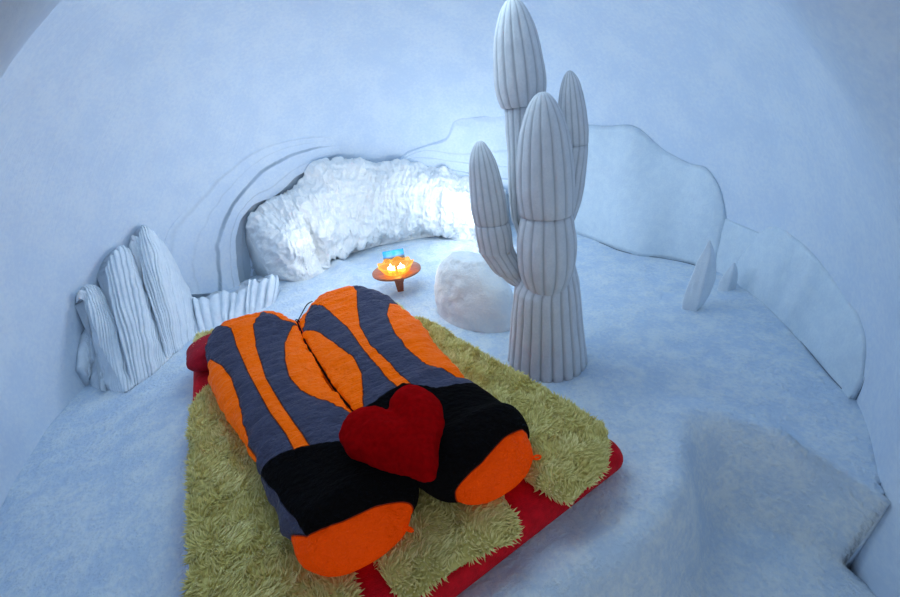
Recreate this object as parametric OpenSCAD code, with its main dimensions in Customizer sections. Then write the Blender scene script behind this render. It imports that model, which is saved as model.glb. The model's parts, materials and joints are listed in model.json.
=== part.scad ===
/* [Dome] */
// Radius of the round room, from its middle to the wall's inner face
room_r = 2100; // [2080:5:2120]
// Radius of the outside of the dome
outer_r = 2850; // [2800:10:2950]
// Height of the centre of the outer sphere above the ground
outer_centre_z = 50; // [20:5:80]
// Height at which the crown is set on the walls
crown_joint_z = 2150; // [2100:10:2200]

/* [Doorway] */
// Clear width of the arched doorway
door_w = 1740; // [1600:20:1760]
// Height at which the round arch of the doorway springs
door_spring_z = 1100; // [1000:10:1120]
// How far each side of the doorway widens towards the room
door_splay = 190; // [0:10:200]
// Angle of the wall that the doorway, its jambs and its head take
door_zone = 60; // [56:1:64]

/* [Floor] */
// Height of the sleeping platform above the ground
platform_h = 400; // [390:5:410]
// Thickness of the packed floor of the entrance
floor_t = 80; // [60:5:120]
// How far the bank of the entrance pit slopes back
bank_run = 150; // [60:10:200]

/* [Cactus] */
// Place of the cactus trunk's middle
cactus_at = [478, -747];
// Turn of the cactus, with its arms across the view from the doorway
cactus_turn = -29; // [-40:1:-20]
// Height of the ribbed trunk
trunk_h = 430; // [420:5:440]
// Radius of the trunk at its foot
trunk_foot_r = 206; // [190:2:210]
// Radius of the trunk under the stems
trunk_top_r = 156; // [152:1:160]
// Ribs around the trunk
trunk_ribs = 22; // [16:2:26]
// Ribs around each stem
stem_ribs = 15; // [13:1:17]
// Depth of the grooves between ribs, as a share of the radius
rib_depth = 0.09; // [0.05:0.01:0.12]

/* [Fluted columns] */
// Depth of the grooves between the flutes
flute_depth = 34; // [15:1:45]
// Height of the tallest fluted column above the platform
column_h = 750; // [700:10:780]

/* [Bed] */
// Size of the mattress
mattress_size = [1400, 2000, 120];
// Middle of the mattress on the platform
bed_at = [-520, -680];
// Turn of the bed
bed_turn = 15; // [12:1:17]
// Thickness of the sheepskins' wool
skin_t = 40; // [30:1:45]
// Thickness of a sleeping bag at its fullest
bag_t = 150; // [120:5:160]

/* [Table] */
// Middle of the little table
table_at = [-95, 500];
// Height of the table top above the platform
table_h = 190; // [180:5:210]
// Radius of the table top
table_r = 187; // [180:1:195]
// Thickness of the table top
table_t = 15; // [12:1:20]

/* [Hidden] */

snow = "#dbe8f6";
snow_shade = "#c3d6ea";
door_r = door_w / 2;
door_edge = -90 - door_zone / 2;
wall_segments = 5;
wall_angle = (360 - door_zone) / wall_segments;
wall_start = -90 + door_zone / 2;
carving_gap = 3;
bed_z = platform_h + mattress_size.z;
bag_floor_z = bed_z + skin_t;
bag_head_lift = 82;
// Foot of the fluted columns, from the wall beside the bed and round its head, and the azimuth at
// which the flute that starts there meets the wall; the first value of each pair is the place along it
column_foot_x = [[0, -2030], [1, -1970], [2, -1900], [3, -1790], [4, -1660], [5, -1570], [6, -1515],
    [7, -1492], [8, -1468], [9, -1372], [10, -1262], [11, -1165]];
column_foot_y = [[0, 100], [1, 66], [2, 40], [3, 8], [4, 45], [5, 48], [6, 70],
    [7, 150], [8, 290], [9, 470], [10, 640], [11, 800]];
column_wall = [[0, 172], [1, 168], [2, 163.5], [3, 159.5], [4, 156], [5, 152.5], [6, 148.5],
    [7, 145.5], [8, 143], [9, 140.5], [10, 138.5], [11, 136.8]];
// Entrance pit in the platform: a wide part inside the doorway, and a corner towards the cactus
pit_end_y = -room_r - 400;
pit_doorway = [[-door_r, pit_end_y], [-door_r, -1900], [700, -1632], [700, pit_end_y]];
pit_corner = [[200, pit_end_y], [200, -1834], [815, -1375], [1120, -1760], [1120, pit_end_y]];
// Run of the pit's bank from the platform's top down to a height
function bank_at(z) = bank_run * (platform_h - z) / (platform_h - floor_t);
// Round glass dish on the front half of the table, and the card's holder behind it
dish_r = 122;
dish_h = 72;
dish_wall = 6;
dish_at = [0, -45];
holder_size = [250, 8, 150];
holder_y = 100;

function mix(a, b, t) = a + (b - a) * t;
function polar(r, a, z) = [r * cos(a), r * sin(a), z];
// Distance from the middle of the room to its wall, at a height above the platform
function room_r_at(h) = sqrt(room_r * room_r - h * h);

// Faces of a loft through rings of equal length, each ring counter-clockwise seen from its end
function loft_faces(rings, sides) = concat(
    [for (i = [1:sides - 2]) [0, i, i + 1]],
    [for (s = [0:rings - 2], i = [0:sides - 1]) each
        let (j = (i + 1) % sides, low = s * sides, high = low + sides)
        [[low + i, high + i, high + j], [low + i, high + j, low + j]]],
    [for (i = [1:sides - 2]) let (top = (rings - 1) * sides) [top, top + i + 1, top + i]]
);
// The same with each end closed by one flat face
function flat_loft_faces(rings, sides) = concat(
    [[for (i = [0:sides - 1]) i]],
    [for (face = loft_faces(rings, sides)) if (max(face) - min(face) >= sides - 1
        && !(max(face) < sides) && !(min(face) >= (rings - 1) * sides)) face],
    [[for (i = [sides - 1:-1:0]) (rings - 1) * sides + i]]
);

module loft(rings, flat_ends = false) {
    sides = len(rings[0]);
    polyhedron(
        points = [for (ring = rings) each ring],
        faces = flat_ends ? flat_loft_faces(len(rings), sides) : loft_faces(len(rings), sides),
        convexity = 8);
}

// Half section of the dome between two heights, to turn about the room's middle
module dome_section(low, high) {
    difference() {
        intersection() {
            union() {
                translate([0, outer_centre_z]) circle(outer_r, $fn = 180);
                square([outer_r, outer_centre_z]);
            }
            translate([0, low]) square([outer_r, high - low]);
        }
        translate([0, platform_h]) circle(room_r, $fn = 180);
        translate([-1, -1]) square([room_r + 1, platform_h + 1]);
    }
}

module dome_sector(start, angle, low = 0, high = crown_joint_z) {
    rotate([0, 0, start]) rotate_extrude(angle = angle, $fn = 180) dome_section(low, high);
}

// Upright round arch across the doorway
module door_arch(y, r, spring_z) {
    translate([0, y, 0]) rotate([90, 0, 0]) linear_extrude(1) {
        translate([-r, -1]) square([2 * r, spring_z + 1]);
        translate([0, spring_z]) circle(r, $fn = 48);
    }
}

// Clear space of the arched doorway, splayed towards the room
module door_opening() {
    hull() {
        door_arch(-outer_r, door_r, door_spring_z);
        door_arch(-1300, door_r + door_splay, door_spring_z - 100);
    }
}

module wall_segment(place) {
    color(snow) dome_sector(wall_start + place * wall_angle, wall_angle);
}

module wall_right_front() { wall_segment(0); }
module wall_right_back() { wall_segment(1); }
module wall_back() { wall_segment(2); }
module wall_left_back() { wall_segment(3); }
module wall_left_front() { wall_segment(4); }

module door_jamb(start) {
    color(snow) difference() {
        dome_sector(start, door_zone / 2, 0, door_spring_z);
        door_opening();
    }
}

module door_jamb_left() { door_jamb(door_edge); }
module door_jamb_right() { door_jamb(-90); }

module door_head() {
    color(snow) difference() {
        dome_sector(door_edge, door_zone, door_spring_z, crown_joint_z);
        door_opening();
    }
}

module dome_crown() {
    color(snow) dome_sector(0, 360, crown_joint_z, outer_r + outer_centre_z);
}

module pit_part(outline) {
    hull() for (z = [-1, platform_h + 1])
        translate([0, -bank_at(z), z]) linear_extrude(0.1) polygon(outline);
}

module pit() {
    pit_part(pit_doorway);
    pit_part(pit_corner);
}

module platform_pie(start, angle) {
    color(snow_shade) difference() {
        rotate([0, 0, start]) rotate_extrude(angle = angle, $fn = 180) square([room_r, platform_h]);
        pit();
    }
}

module platform_left() { platform_pie(-270 + 40, 150); }
module platform_back() { platform_pie(-10, 140); }
module platform_right() { platform_pie(-80, 70); }

module entrance_floor() {
    color(snow_shade) intersection() {
        cylinder(r = outer_r, h = floor_t, $fn = 180);
        union() {
            difference() {
                door_opening();
                translate([0, 0, -2]) cylinder(r = room_r, h = floor_t + 4, $fn = 180);
            }
            intersection() {
                translate([0, 0, -2]) cylinder(r = room_r, h = floor_t + 4, $fn = 180);
                pit();
            }
        }
    }
}

// Ring of a ribbed stem: flat ribs between sharp grooves
function rib_ring(at, r, ribs) = [for (i = [0:3 * ribs - 1])
    let (turn = 120 * i / ribs, crest = abs(sin(ribs * turn / 2)), rr = r * (1 - rib_depth * (1 - crest)))
    [at.x + rr * cos(turn), at.y + rr * sin(turn), at.z]];

// Barrel-shaped pod from a foot to its waist, without the ring at the waist
function barrel(foot, waist, foot_r, full_r, waist_r, steps) = [for (s = [0:steps - 1])
    let (t = s / steps, plain = mix(foot_r, waist_r, t))
    rib_ring(mix(foot, waist, t), plain + (full_r - plain) * pow(sin(180 * t), 0.7), stem_ribs)];

// Pod with a rounded tip that sits on a waist and overhangs it
function tip_pod(waist, tip, waist_r, base_r, full_r, steps) = concat(
    [rib_ring(waist, waist_r, stem_ribs)],
    [for (s = [0:steps]) let (t = min(0.997, sin(90 * s / steps)),
        swell = mix(base_r, full_r, sin(90 * min(1, t / 0.3))))
        rib_ring(mix(waist + [0, 0, 3], tip, t), swell * sqrt(1 - pow(t, 2.4)), stem_ribs)]);

module at_cactus() {
    translate([cactus_at.x, cactus_at.y, platform_h]) rotate([0, 0, cactus_turn]) children();
}

module cactus_trunk() {
    rows = [[0, 1], [0.5, 0.48], [0.95, 0], [1, -0.08]];
    color(snow) at_cactus() loft([for (row = rows)
        rib_ring([0, 0, trunk_h * row[0]], mix(trunk_top_r, trunk_foot_r, row[1]), trunk_ribs)], true);
}

module cactus_front_stem() {
    waist = [0, -48, 795];
    color(snow) at_cactus() loft(concat(
        barrel([0, -48, trunk_h], waist, 72, 131, 105, 6),
        tip_pod(waist, [-16, -48, 1257], 105, 114, 121, 8)), true);
}

module cactus_tall_stem() {
    bend = [-98, 150, 720];
    neck = [-98, 150, 1213];
    color(snow) at_cactus() loft(concat(
        barrel([-55, 92, trunk_h], bend, 45, 50, 66, 3),
        barrel(bend, neck, 66, 76, 78, 2),
        tip_pod(neck, [-128, 150, 1592], 79, 88, 111, 8)), true);
}

module cactus_left_arm() {
    knee = [-172, 36, 492];
    elbow = [-236, 44, 610];
    waist = [-252, 45, 742];
    color(snow) at_cactus() loft(concat(
        barrel([-112, 25, trunk_h], knee, 40, 58, 70, 2),
        barrel(knee, elbow, 70, 81, 86, 2),
        barrel(elbow, waist, 86, 86, 78, 2),
        tip_pod(waist, [-279, 45, 1105], 75, 79, 83, 7)), true);
}

module cactus_right_arm() {
    bend = [72, 124, 700];
    waist = [116, 128, 1040];
    color(snow) at_cactus() loft(concat(
        barrel([50, 105, trunk_h], bend, 38, 42, 46, 2),
        barrel(bend, waist, 46, 72, 58, 5),
        tip_pod(waist, [90, 128, 1324], 55, 59, 63, 6)), true);
}

// Point on the line from a flute's foot to its wall point at which the wall's radius is reached
function on_flute(foot, wall, r) = let (d = wall - foot, dd = d * d, fd = foot * d,
    share = (-fd + sqrt(fd * fd - dd * (foot * foot - r * r))) / dd)
    foot + share * d;

// Bundle of flutes that rise from their foot line to the wall, with heights along the bundle
module fluted_bundle(from, to, heights, flutes, seed) {
    samples = 4;
    steps = flutes * samples;
    tips = rands(0.88, 1, flutes + 1, seed);
    rings = [for (s = [0:steps]) let (
        along = mix(from, to, s / steps),
        crest = abs(sin(180 * s / samples)),
        groove = flute_depth * (1 - crest),
        h = lookup(along, heights) * tips[floor(s / samples)] * (0.9 + 0.1 * crest),
        b = lookup(along, column_wall),
        wall = (room_r - carving_gap) * [cos(b), sin(b)],
        edge = [lookup(along, column_foot_x), lookup(along, column_foot_y)],
        foot = edge + groove * (wall - edge) / norm(wall - edge),
        back = on_flute(foot, wall, room_r_at(h) - carving_gap),
        top = on_flute(foot, wall, room_r_at(h) - 50 - groove),
        belly = mix(foot, top, 0.42),
        shoulder = mix(foot, top, 0.8),
        low_back = on_flute(foot, wall, room_r_at(h / 2) - carving_gap))
        [
            [wall.x, wall.y, 0],
            [low_back.x, low_back.y, h / 2],
            [back.x, back.y, h * 0.985],
            [top.x, top.y, h],
            [shoulder.x, shoulder.y, h * 0.84],
            [belly.x, belly.y, h * 0.5],
            [foot.x, foot.y, 0]
        ]];
    color(snow) translate([0, 0, platform_h]) loft(rings);
}

module columns_low() { fluted_bundle(0, 2.85, [[0, 60], [0.6, 170], [1.1, 440], [1.8, 580], [2.85, 510]], 6, 11); }
module columns_middle() {
    fluted_bundle(2.88, 4.75, [[2.88, 620], [3.3, 720], [4.1, 745], [4.75, 580]], 5, 12);
}
module columns_tall() {
    fluted_bundle(4.78, 7.6, [[4.78, 640], [5.3, column_h - 40], [5.9, column_h + 80], [6.5, 700],
        [7.2, 400], [7.6, 210]], 8, 13);
}
module fluted_skirt() {
    fluted_bundle(7.63, 11, [[7.63, 170], [8.2, 115], [9.6, 100], [10.3, 165], [11, 90]], 10, 14);
}

// Shaggy ridge along the wall: foot, belly and brow at each azimuth
function ridge_foot(a) = lookup(a, [[50, 1830], [95, 1760], [113, 1700], [116, 1500], [118, 1470], [124.5, 1430],
    [127.5, 1490], [128.9, 1600], [129.5, 1760]]);
function ridge_belly(a) = lookup(a, [[50, 1600], [95, 1590], [104, 1530], [112, 1450], [115.5, 1440], [117.5, 1500],
    [119.5, 1450], [124.5, 1400], [127.5, 1465], [128.9, 1580], [129.5, 1750]]);
function ridge_brow(a) = lookup(a, [[50, 380], [60, 500], [68, 690], [84, 800], [92, 850], [101, 940], [107, 900],
    [110, 845], [113.5, 750], [117, 705], [121, 665], [124.5, 625], [127, 590], [128.5, 530], [129.5, 400]]);
function ridge_lip(a) = lookup(a, [[50, 170], [95, 150], [105, 110], [113, 100], [117, 40], [129, 40]]);

module ridge(from, to, steps, seed) {
    shag = rands(-20, 20, 4 * (steps + 1), seed);
    rings = [for (s = [0:steps]) let (
        a = mix(from, to, s / steps),
        h = ridge_brow(a) + shag[4 * s],
        foot = ridge_foot(a),
        belly = ridge_belly(a) + shag[4 * s + 1],
        brow = max(belly + 40, room_r_at(h) - 190),
        back_h = h * 0.95)
        [
            polar(room_r - carving_gap, a, 0),
            polar(room_r_at(back_h / 2) - carving_gap, a, back_h / 2),
            polar(room_r_at(back_h) - carving_gap, a, back_h),
            polar(room_r_at(h) - 60, a, h),
            polar(brow, a, h * 0.96),
            polar(mix(brow, belly, 0.55), a, h * 0.82),
            polar(belly, a, h * 0.58),
            polar(belly + shag[4 * s + 2], a, h * 0.36),
            polar(belly + 25 + shag[4 * s + 3], a, ridge_lip(a)),
            polar(foot, a, 0)
        ]];
    color(snow) translate([0, 0, platform_h]) loft([for (s = [steps:-1:0]) rings[s]]);
}

module ridge_left() { ridge(104, 129.5, 22, 21); }
module ridge_right() { ridge(50, 103.8, 30, 22); }

// Cone of sight from the dome's centre through an outline of [azimuth, elevation] points
module sight_cone(outline) {
    rim = [for (p = outline) (room_r + 300) * [cos(p[1]) * cos(p[0]), cos(p[1]) * sin(p[0]), sin(p[1])]];
    n = len(rim);
    polyhedron(
        points = concat([[0, 0, 0]], rim),
        faces = concat([for (i = [1:n]) [0, i % n + 1, i]], [for (i = [2:n - 1]) [1, i, i + 1]]),
        convexity = 4);
}

// Plate carved on the wall; the cutting sphere is moved off centre, so the plate fades to nothing
module wall_plate(outline, depth, fade = [0, 0, 0]) {
    translate([0, 0, platform_h]) intersection() {
        sight_cone(outline);
        difference() {
            sphere(room_r, $fn = 240);
            translate(fade) sphere(room_r - depth, $fn = 240);
        }
    }
}

// Point on the wall in a direction [azimuth, elevation] from the dome's centre, less a depth
function on_wall(way, depth) =
    (room_r - depth) * [cos(way[1]) * cos(way[0]), cos(way[1]) * sin(way[0]), sin(way[1])];

// Three terraces that climb round the end of the ridge, deepest beside it
module strata_wall() {
    edges = [[135.2, 7, 142.4, 7], [133.6, 12.5, 144.4, 15], [131, 17, 141.5, 22.5], [126.3, 20.6, 133.9, 27.5],
        [120, 23.2, 126.5, 31], [112.7, 26.2, 117, 33.2], [105.5, 28.6, 106, 33]];
    terraces = [[0, carving_gap], [0.5, carving_gap], [1, carving_gap], [1, 10], [0.94, 22], [0.66, 26], [0.62, 50],
        [0.34, 54], [0.3, 80], [0.04, 84], [0, 70]];
    color(snow_shade) translate([0, 0, platform_h]) loft([for (s = [0:0.5:len(edges) - 1])
        let (edge = mix(edges[floor(s)], edges[ceil(s)], s - floor(s)))
        [for (step = terraces)
            on_wall([mix(edge[0], edge[2], step[0]), mix(edge[1], edge[3], step[0])], step[1])]]);
}

module mesa_behind_ridge() {
    outline = [[50, 32.5], [63.6, 32], [68, 29.3], [75, 26], [80, 25.5], [74, 24.5], [62, 24.5], [50, 26]];
    color(snow_shade) wall_plate(outline, 35);
}

// Near-upright slab along the wall, from [azimuth, front radius at the foot, height] rows
module wall_slab(rows, lip, steps) {
    fronts = [for (row = rows) [row[0], row[1]]];
    heights = [for (row = rows) [row[0], row[2]]];
    rings = [for (s = [0:steps]) let (
        a = mix(rows[0][0], rows[len(rows) - 1][0], s / steps), h = lookup(a, heights), front = lookup(a, fronts))
        [
            polar(room_r - carving_gap, a, 0),
            polar(room_r_at(h / 2) - carving_gap, a, h / 2),
            polar(room_r_at(h) - carving_gap, a, h),
            polar(min(room_r_at(h) - lip, mix(front, room_r_at(h), 0.9)), a, h),
            polar(mix(front, room_r_at(h) - lip, 0.45), a, h / 2),
            polar(front, a, 0)
        ]];
    color(snow_shade) translate([0, 0, platform_h]) loft([for (s = [len(rings) - 1:-1:0]) rings[s]]);
}

module mesa_behind_cactus() {
    wall_slab([[-9.6, 2040, 380], [-8.6, 2030, 533], [-7, 2015, 638], [-1, 1950, 715], [4.6, 1820, 793],
        [10.6, 1790, 953], [18, 1840, 968], [26, 1920, 983], [34, 1990, 900]], 50, 24);
}

module mesa_low() {
    wall_slab([[-17, 2060, 368], [-13, 2056, 372], [-9.9, 2050, 378]], 40, 4);
}

module mesa_right() {
    wall_slab([[-46.5, 2075, 90], [-45, 2070, 212], [-42.4, 2050, 292], [-38.3, 2035, 320], [-32.3, 2030, 383],
        [-26.4, 2035, 433], [-20.5, 2040, 433], [-17.4, 2052, 340]], 50, 18);
}

// Upright blade of snow: an oval foot that narrows and leans to its tip
module blade(at, turn, half, h, lean) {
    levels = [[0, 0.92], [0.3, 1], [0.6, 0.78], [0.85, 0.42], [1, 0.06]];
    color(snow) translate([at.x, at.y, platform_h]) rotate([0, 0, turn]) loft([for (l = levels)
        [for (a = [0:20:340]) [half.x * l[1] * cos(a) + lean * l[0], half.y * l[1] * sin(a), h * l[0]]]], true);
}

module blade_tall() { blade([1520, -715], 5, [62, 120], 465, 10); }
module blade_small() { blade([1800, -560], 0, [70, 60], 200, 0); }

module snow_boulder() {
    levels = [[0, 1], [0.2, 1], [0.45, 0.93], [0.7, 0.76], [0.88, 0.5], [1, 0.16]];
    color(snow) translate([300, -120, platform_h]) rotate([0, 0, -62]) loft([for (l = levels)
        [for (a = [0:15:345]) [315 * l[1] * cos(a), 185 * l[1] * sin(a), 440 * l[0]]]], true);
}

module at_table() {
    translate([table_at.x, table_at.y, platform_h]) rotate([0, 0, -5]) children();
}

module table_top() {
    color("#c4552b") at_table() translate([0, 0, table_h - table_t])
        cylinder(r = table_r, h = table_t, $fn = 96);
}

module table_leg() {
    board_t = 26;
    leg_h = table_h - table_t;
    color("#9c3d20") at_table() translate([0, board_t / 2, 0]) rotate([90, 0, 0]) linear_extrude(board_t)
        polygon([[-22, 0], [24, 0], [34, leg_h * 0.45], [78, leg_h], [-38, leg_h]]);
}

module glass_dish() {
    color("#f6d7a0") at_table() translate([dish_at.x, dish_at.y, table_h]) rotate_extrude($fn = 96)
        polygon([[0, 0], [dish_r * 0.6, 0], [dish_r * 0.86, dish_h * 0.4], [dish_r, dish_h],
            [dish_r - dish_wall, dish_h], [dish_r * 0.86 - dish_wall, dish_h * 0.42],
            [dish_r * 0.6 - 4, dish_wall], [0, dish_wall]]);
}

module candles() {
    color("#fff6dc") at_table() for (side = [-1, 1])
        translate([dish_at.x + 38 * side, dish_at.y - 8 * side, table_h + dish_wall])
            cylinder(r = 28, h = 34, $fn = 48);
}

module card_holder() {
    color("#d8ecf8") at_table() translate([-holder_size.x / 2, holder_y, table_h]) {
        cube(holder_size);
        translate([60, -18, 0]) cube([holder_size.x - 120, 18, 6]);
    }
}

module picture_card() {
    color("#1f9bd6") at_table() translate([-82, holder_y - 3, table_h + 30]) cube([164, 3, 95]);
}

module on_bed(z = bed_z) {
    translate([bed_at.x, bed_at.y, z]) rotate([0, 0, bed_turn]) children();
}

module mattress() {
    corner = 60;
    half = [mattress_size.x / 2 - corner, mattress_size.y / 2 - corner];
    color("#c8102a") on_bed(platform_h) linear_extrude(mattress_size.z) union() {
        square([2 * half.x, mattress_size.y], center = true);
        square([mattress_size.x, 2 * half.y], center = true);
        for (x = [-half.x, half.x], y = [-half.y, half.y]) translate([x, y]) circle(corner, $fn = 48);
    }
}

module head_pillow() {
    half = [215, 172, 60];
    color("#8f0f1e") on_bed() translate([-492, 745, half.z]) loft([for (t = [-1:0.25:1])
        [for (a = [0:20:340]) [half.x * t, half.y * sqrt(1 - 0.75 * t * t) * cos(a),
            half.z * sqrt(1 - 0.75 * t * t) * sin(a)]]], true);
}

// Wavy outline of one skin, a rounded oblong with lobes
function skin_outline(half, lobes, phase) = [for (a = [0:10:350]) let (
    wave = 0.965 + 0.035 * sin(lobes * a + phase),
    c = cos(a), s = sin(a))
    [half.x * wave * sign(c) * pow(abs(c), 0.45), half.y * wave * sign(s) * pow(abs(s), 0.45)]];

module sheepskin(at, half, lobes, phase) {
    color("#d8cf93") on_bed() translate(at) linear_extrude(skin_t) polygon(skin_outline(half, lobes, phase));
}

module sheepskin_left() { sheepskin([-462, -245], [226, 790], 5, 40); }
module sheepskin_middle() { sheepskin([15, -250], [247, 790], 6, 130); }
module sheepskin_right() { sheepskin([484, -310], [218, 730], 5, 250); }

// Sleeping bag: rows of [place along the bed, left side, right side, height, floor] from foot to head
function bag_ring(row) = let (middle = (row[1] + row[2]) / 2, half = (row[2] - row[1]) / 2)
    [for (a = [0:18:342]) [
        middle + half * sign(cos(a)) * pow(abs(cos(a)), 0.8),
        row[0],
        row[4] + row[3] * (a <= 180 ? 0.3 + 0.7 * pow(sin(a), 0.75) : 0.3 + 0.3 * sin(a))]];

module sleeping_bag(rows) {
    color("#f07a12") on_bed(bag_floor_z)
        loft([for (s = [len(rows) - 1:-1:0]) bag_ring(rows[s])], true);
}

module sleeping_bag_left() {
    sleeping_bag([
        [-865, -265, -130, 40, 10], [-835, -345, -80, 105, 2], [-760, -385, -55, 140, 0],
        [-600, -405, -50, bag_t, 0], [-400, -425, -50, bag_t, 0], [-200, -455, -55, bag_t, 0],
        [100, -535, -52, bag_t, 0], [420, -575, -50, bag_t, 0], [560, -570, -60, 110, bag_head_lift],
        [690, -545, -90, 100, bag_head_lift], [770, -500, -150, 80, bag_head_lift],
        [815, -430, -210, 45, bag_head_lift]]);
}

module sleeping_bag_right() {
    sleeping_bag([
        [-915, 135, 300, 40, 10], [-885, 65, 365, 105, 2], [-800, 25, 400, 140, 0],
        [-600, 5, 400, bag_t, 0], [-400, -20, 395, bag_t, 0], [-200, -45, 410, bag_t, 0],
        [100, -44, 450, bag_t, 0], [440, -42, 445, bag_t, 0], [570, -42, 430, bag_t, 10],
        [720, -15, 390, 135, 15], [800, 40, 335, 105, 20], [845, 100, 270, 60, 25]]);
}

module heart_cushion() {
    heart_w = 330;
    heart_t = 105;
    outline = [for (a = [0:10:350]) heart_w / 32 *
        [16 * pow(sin(a), 3), 13 * cos(a) - 5 * cos(2 * a) - 2 * cos(3 * a) - cos(4 * a)]];
    color("#c4141c") on_bed(bag_floor_z + bag_t) translate([0, -665, 0])
        linear_extrude(heart_t) polygon(outline);
}

wall_right_front();
wall_right_back();
wall_back();
wall_left_back();
wall_left_front();
door_jamb_left();
door_jamb_right();
door_head();
dome_crown();
platform_left();
platform_back();
platform_right();
entrance_floor();
cactus_trunk();
cactus_front_stem();
cactus_tall_stem();
cactus_left_arm();
cactus_right_arm();
columns_low();
columns_middle();
columns_tall();
fluted_skirt();
ridge_left();
ridge_right();
strata_wall();
mesa_behind_ridge();
mesa_behind_cactus();
mesa_low();
mesa_right();
blade_tall();
blade_small();
snow_boulder();
table_top();
table_leg();
glass_dish();
candles();
card_holder();
picture_card();
mattress();
head_pillow();
sheepskin_left();
sheepskin_middle();
sheepskin_right();
sleeping_bag_left();
sleeping_bag_right();
heart_cushion();
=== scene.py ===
"""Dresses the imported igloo: snow, carved figures, a made bed and a little lit table."""

from __future__ import annotations

import json
import logging
import math
from dataclasses import dataclass, field
from enum import Enum
from itertools import product
from typing import Any, Callable, Sequence

import bmesh
import bpy
import numpy as np
from mathutils import Matrix, Vector

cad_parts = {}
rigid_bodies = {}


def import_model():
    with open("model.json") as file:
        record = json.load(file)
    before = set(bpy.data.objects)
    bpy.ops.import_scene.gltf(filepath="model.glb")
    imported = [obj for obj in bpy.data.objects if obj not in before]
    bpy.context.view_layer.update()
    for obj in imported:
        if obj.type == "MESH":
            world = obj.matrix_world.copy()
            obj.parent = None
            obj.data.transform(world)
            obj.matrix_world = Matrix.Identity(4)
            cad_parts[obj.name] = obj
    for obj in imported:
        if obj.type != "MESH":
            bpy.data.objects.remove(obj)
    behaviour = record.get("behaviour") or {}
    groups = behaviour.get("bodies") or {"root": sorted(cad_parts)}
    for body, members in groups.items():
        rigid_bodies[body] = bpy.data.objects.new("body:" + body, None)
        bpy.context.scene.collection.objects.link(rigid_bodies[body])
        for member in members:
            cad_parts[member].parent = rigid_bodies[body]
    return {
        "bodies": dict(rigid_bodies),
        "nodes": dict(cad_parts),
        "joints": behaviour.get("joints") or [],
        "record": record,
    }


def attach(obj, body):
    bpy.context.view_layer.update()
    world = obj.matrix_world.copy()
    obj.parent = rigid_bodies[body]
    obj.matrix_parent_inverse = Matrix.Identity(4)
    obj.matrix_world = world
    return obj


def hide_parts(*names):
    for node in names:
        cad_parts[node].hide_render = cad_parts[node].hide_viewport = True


LOG = logging.getLogger("igloo")
Spot = tuple[float, float]
Point = tuple[float, float, float]
Colour = tuple[float, float, float]
Pairs = Sequence[Spot]
Rows = Sequence[Sequence[float]]
Piece = bpy.types.Object
Socket = bpy.types.NodeSocket

BODY = "root"
ROOM_R = 2.1
PLATFORM = 0.4
SUNK = 0.002


class Slot(Enum):
    """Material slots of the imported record."""

    WALL = "snow_wall"
    FLOOR = "snow_floor"
    CARVED = "carved_snow"
    WOOD = "table_wood"
    GLASS = "dish_glass"
    WAX = "candle_wax"
    ACRYLIC = "holder_acrylic"
    PRINT = "card_print"
    MATTRESS = "mattress_cover"
    PILLOW = "pillow_cover"
    WOOL = "sheepskin"
    BAG = "bag_shell"
    PLUSH = "heart_plush"


class SmoothNoise:
    """Smooth value noise in space, the same on every run."""

    SIZE = 32

    def __init__(self, seed: int) -> None:
        """Fills the lattice."""
        self.lattice = np.random.default_rng(seed).uniform(-1, 1, (self.SIZE,) * 3)

    def at(self, points: np.ndarray, scale: float | Sequence[float]) -> np.ndarray:
        """Samples the noise.

        Args:
            points: Places, one a row.
            scale: Size of a cell, one number or one for each axis.

        Returns:
            A value from -1 to 1 for each place.
        """
        place = np.asarray(points, float) / np.asarray(scale, float)
        cell = np.floor(place).astype(int)
        share = place - cell
        share = share * share * (3 - 2 * share)
        total = np.zeros(len(place))
        for corner in product((0, 1), repeat=3):
            weight = np.prod(np.where(corner, share, 1 - share), axis=1)
            i, j, k = ((cell + corner) % self.SIZE).T
            total += weight * self.lattice[i, j, k]
        return total

    def layered(self, points: np.ndarray, scale: float, octaves: int = 3, gain: float = 0.5) -> np.ndarray:
        """Samples several sizes of the noise on top of each other."""
        total = np.zeros(len(points))
        strength = 1.0
        for _ in range(octaves):
            total += strength * self.at(points, scale)
            scale, strength = scale / 2.03, strength * gain
        return total


def smooth_step(value: np.ndarray, low: float, high: float) -> np.ndarray:
    """Rises smoothly from 0 at low to 1 at high."""
    share = np.clip((value - low) / (high - low), 0, 1)
    return share * share * (3 - 2 * share)


def smooth_max(a: np.ndarray, b: np.ndarray, width: float) -> np.ndarray:
    """Larger of two distances, with their meeting edge rounded over a width."""
    near = np.maximum(width - np.abs(a - b), 0) / width
    return np.maximum(a, b) + near * near * width / 4


def table_at(place: np.ndarray | float, rows: Pairs) -> np.ndarray:
    """Value of a table of (place, value) rows, straight between them."""
    xs, ys = zip(*rows)
    return np.interp(place, xs, ys)


def curve_at(place: np.ndarray, xs: Sequence[float], ys: Sequence[float]) -> np.ndarray:
    """Value of a smooth curve through points."""
    xs, ys = np.asarray(xs, float), np.asarray(ys, float)
    slope = np.gradient(ys, xs)
    i = np.clip(np.searchsorted(xs, place) - 1, 0, len(xs) - 2)
    width = xs[i + 1] - xs[i]
    t = np.clip((place - xs[i]) / width, 0, 1)
    rise = ys[i] * (1 + 2 * t) * (1 - t) ** 2 + ys[i + 1] * t * t * (3 - 2 * t)
    return rise + width * t * (1 - t) * (slope[i] * (1 - t) - slope[i + 1] * t)


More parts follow.
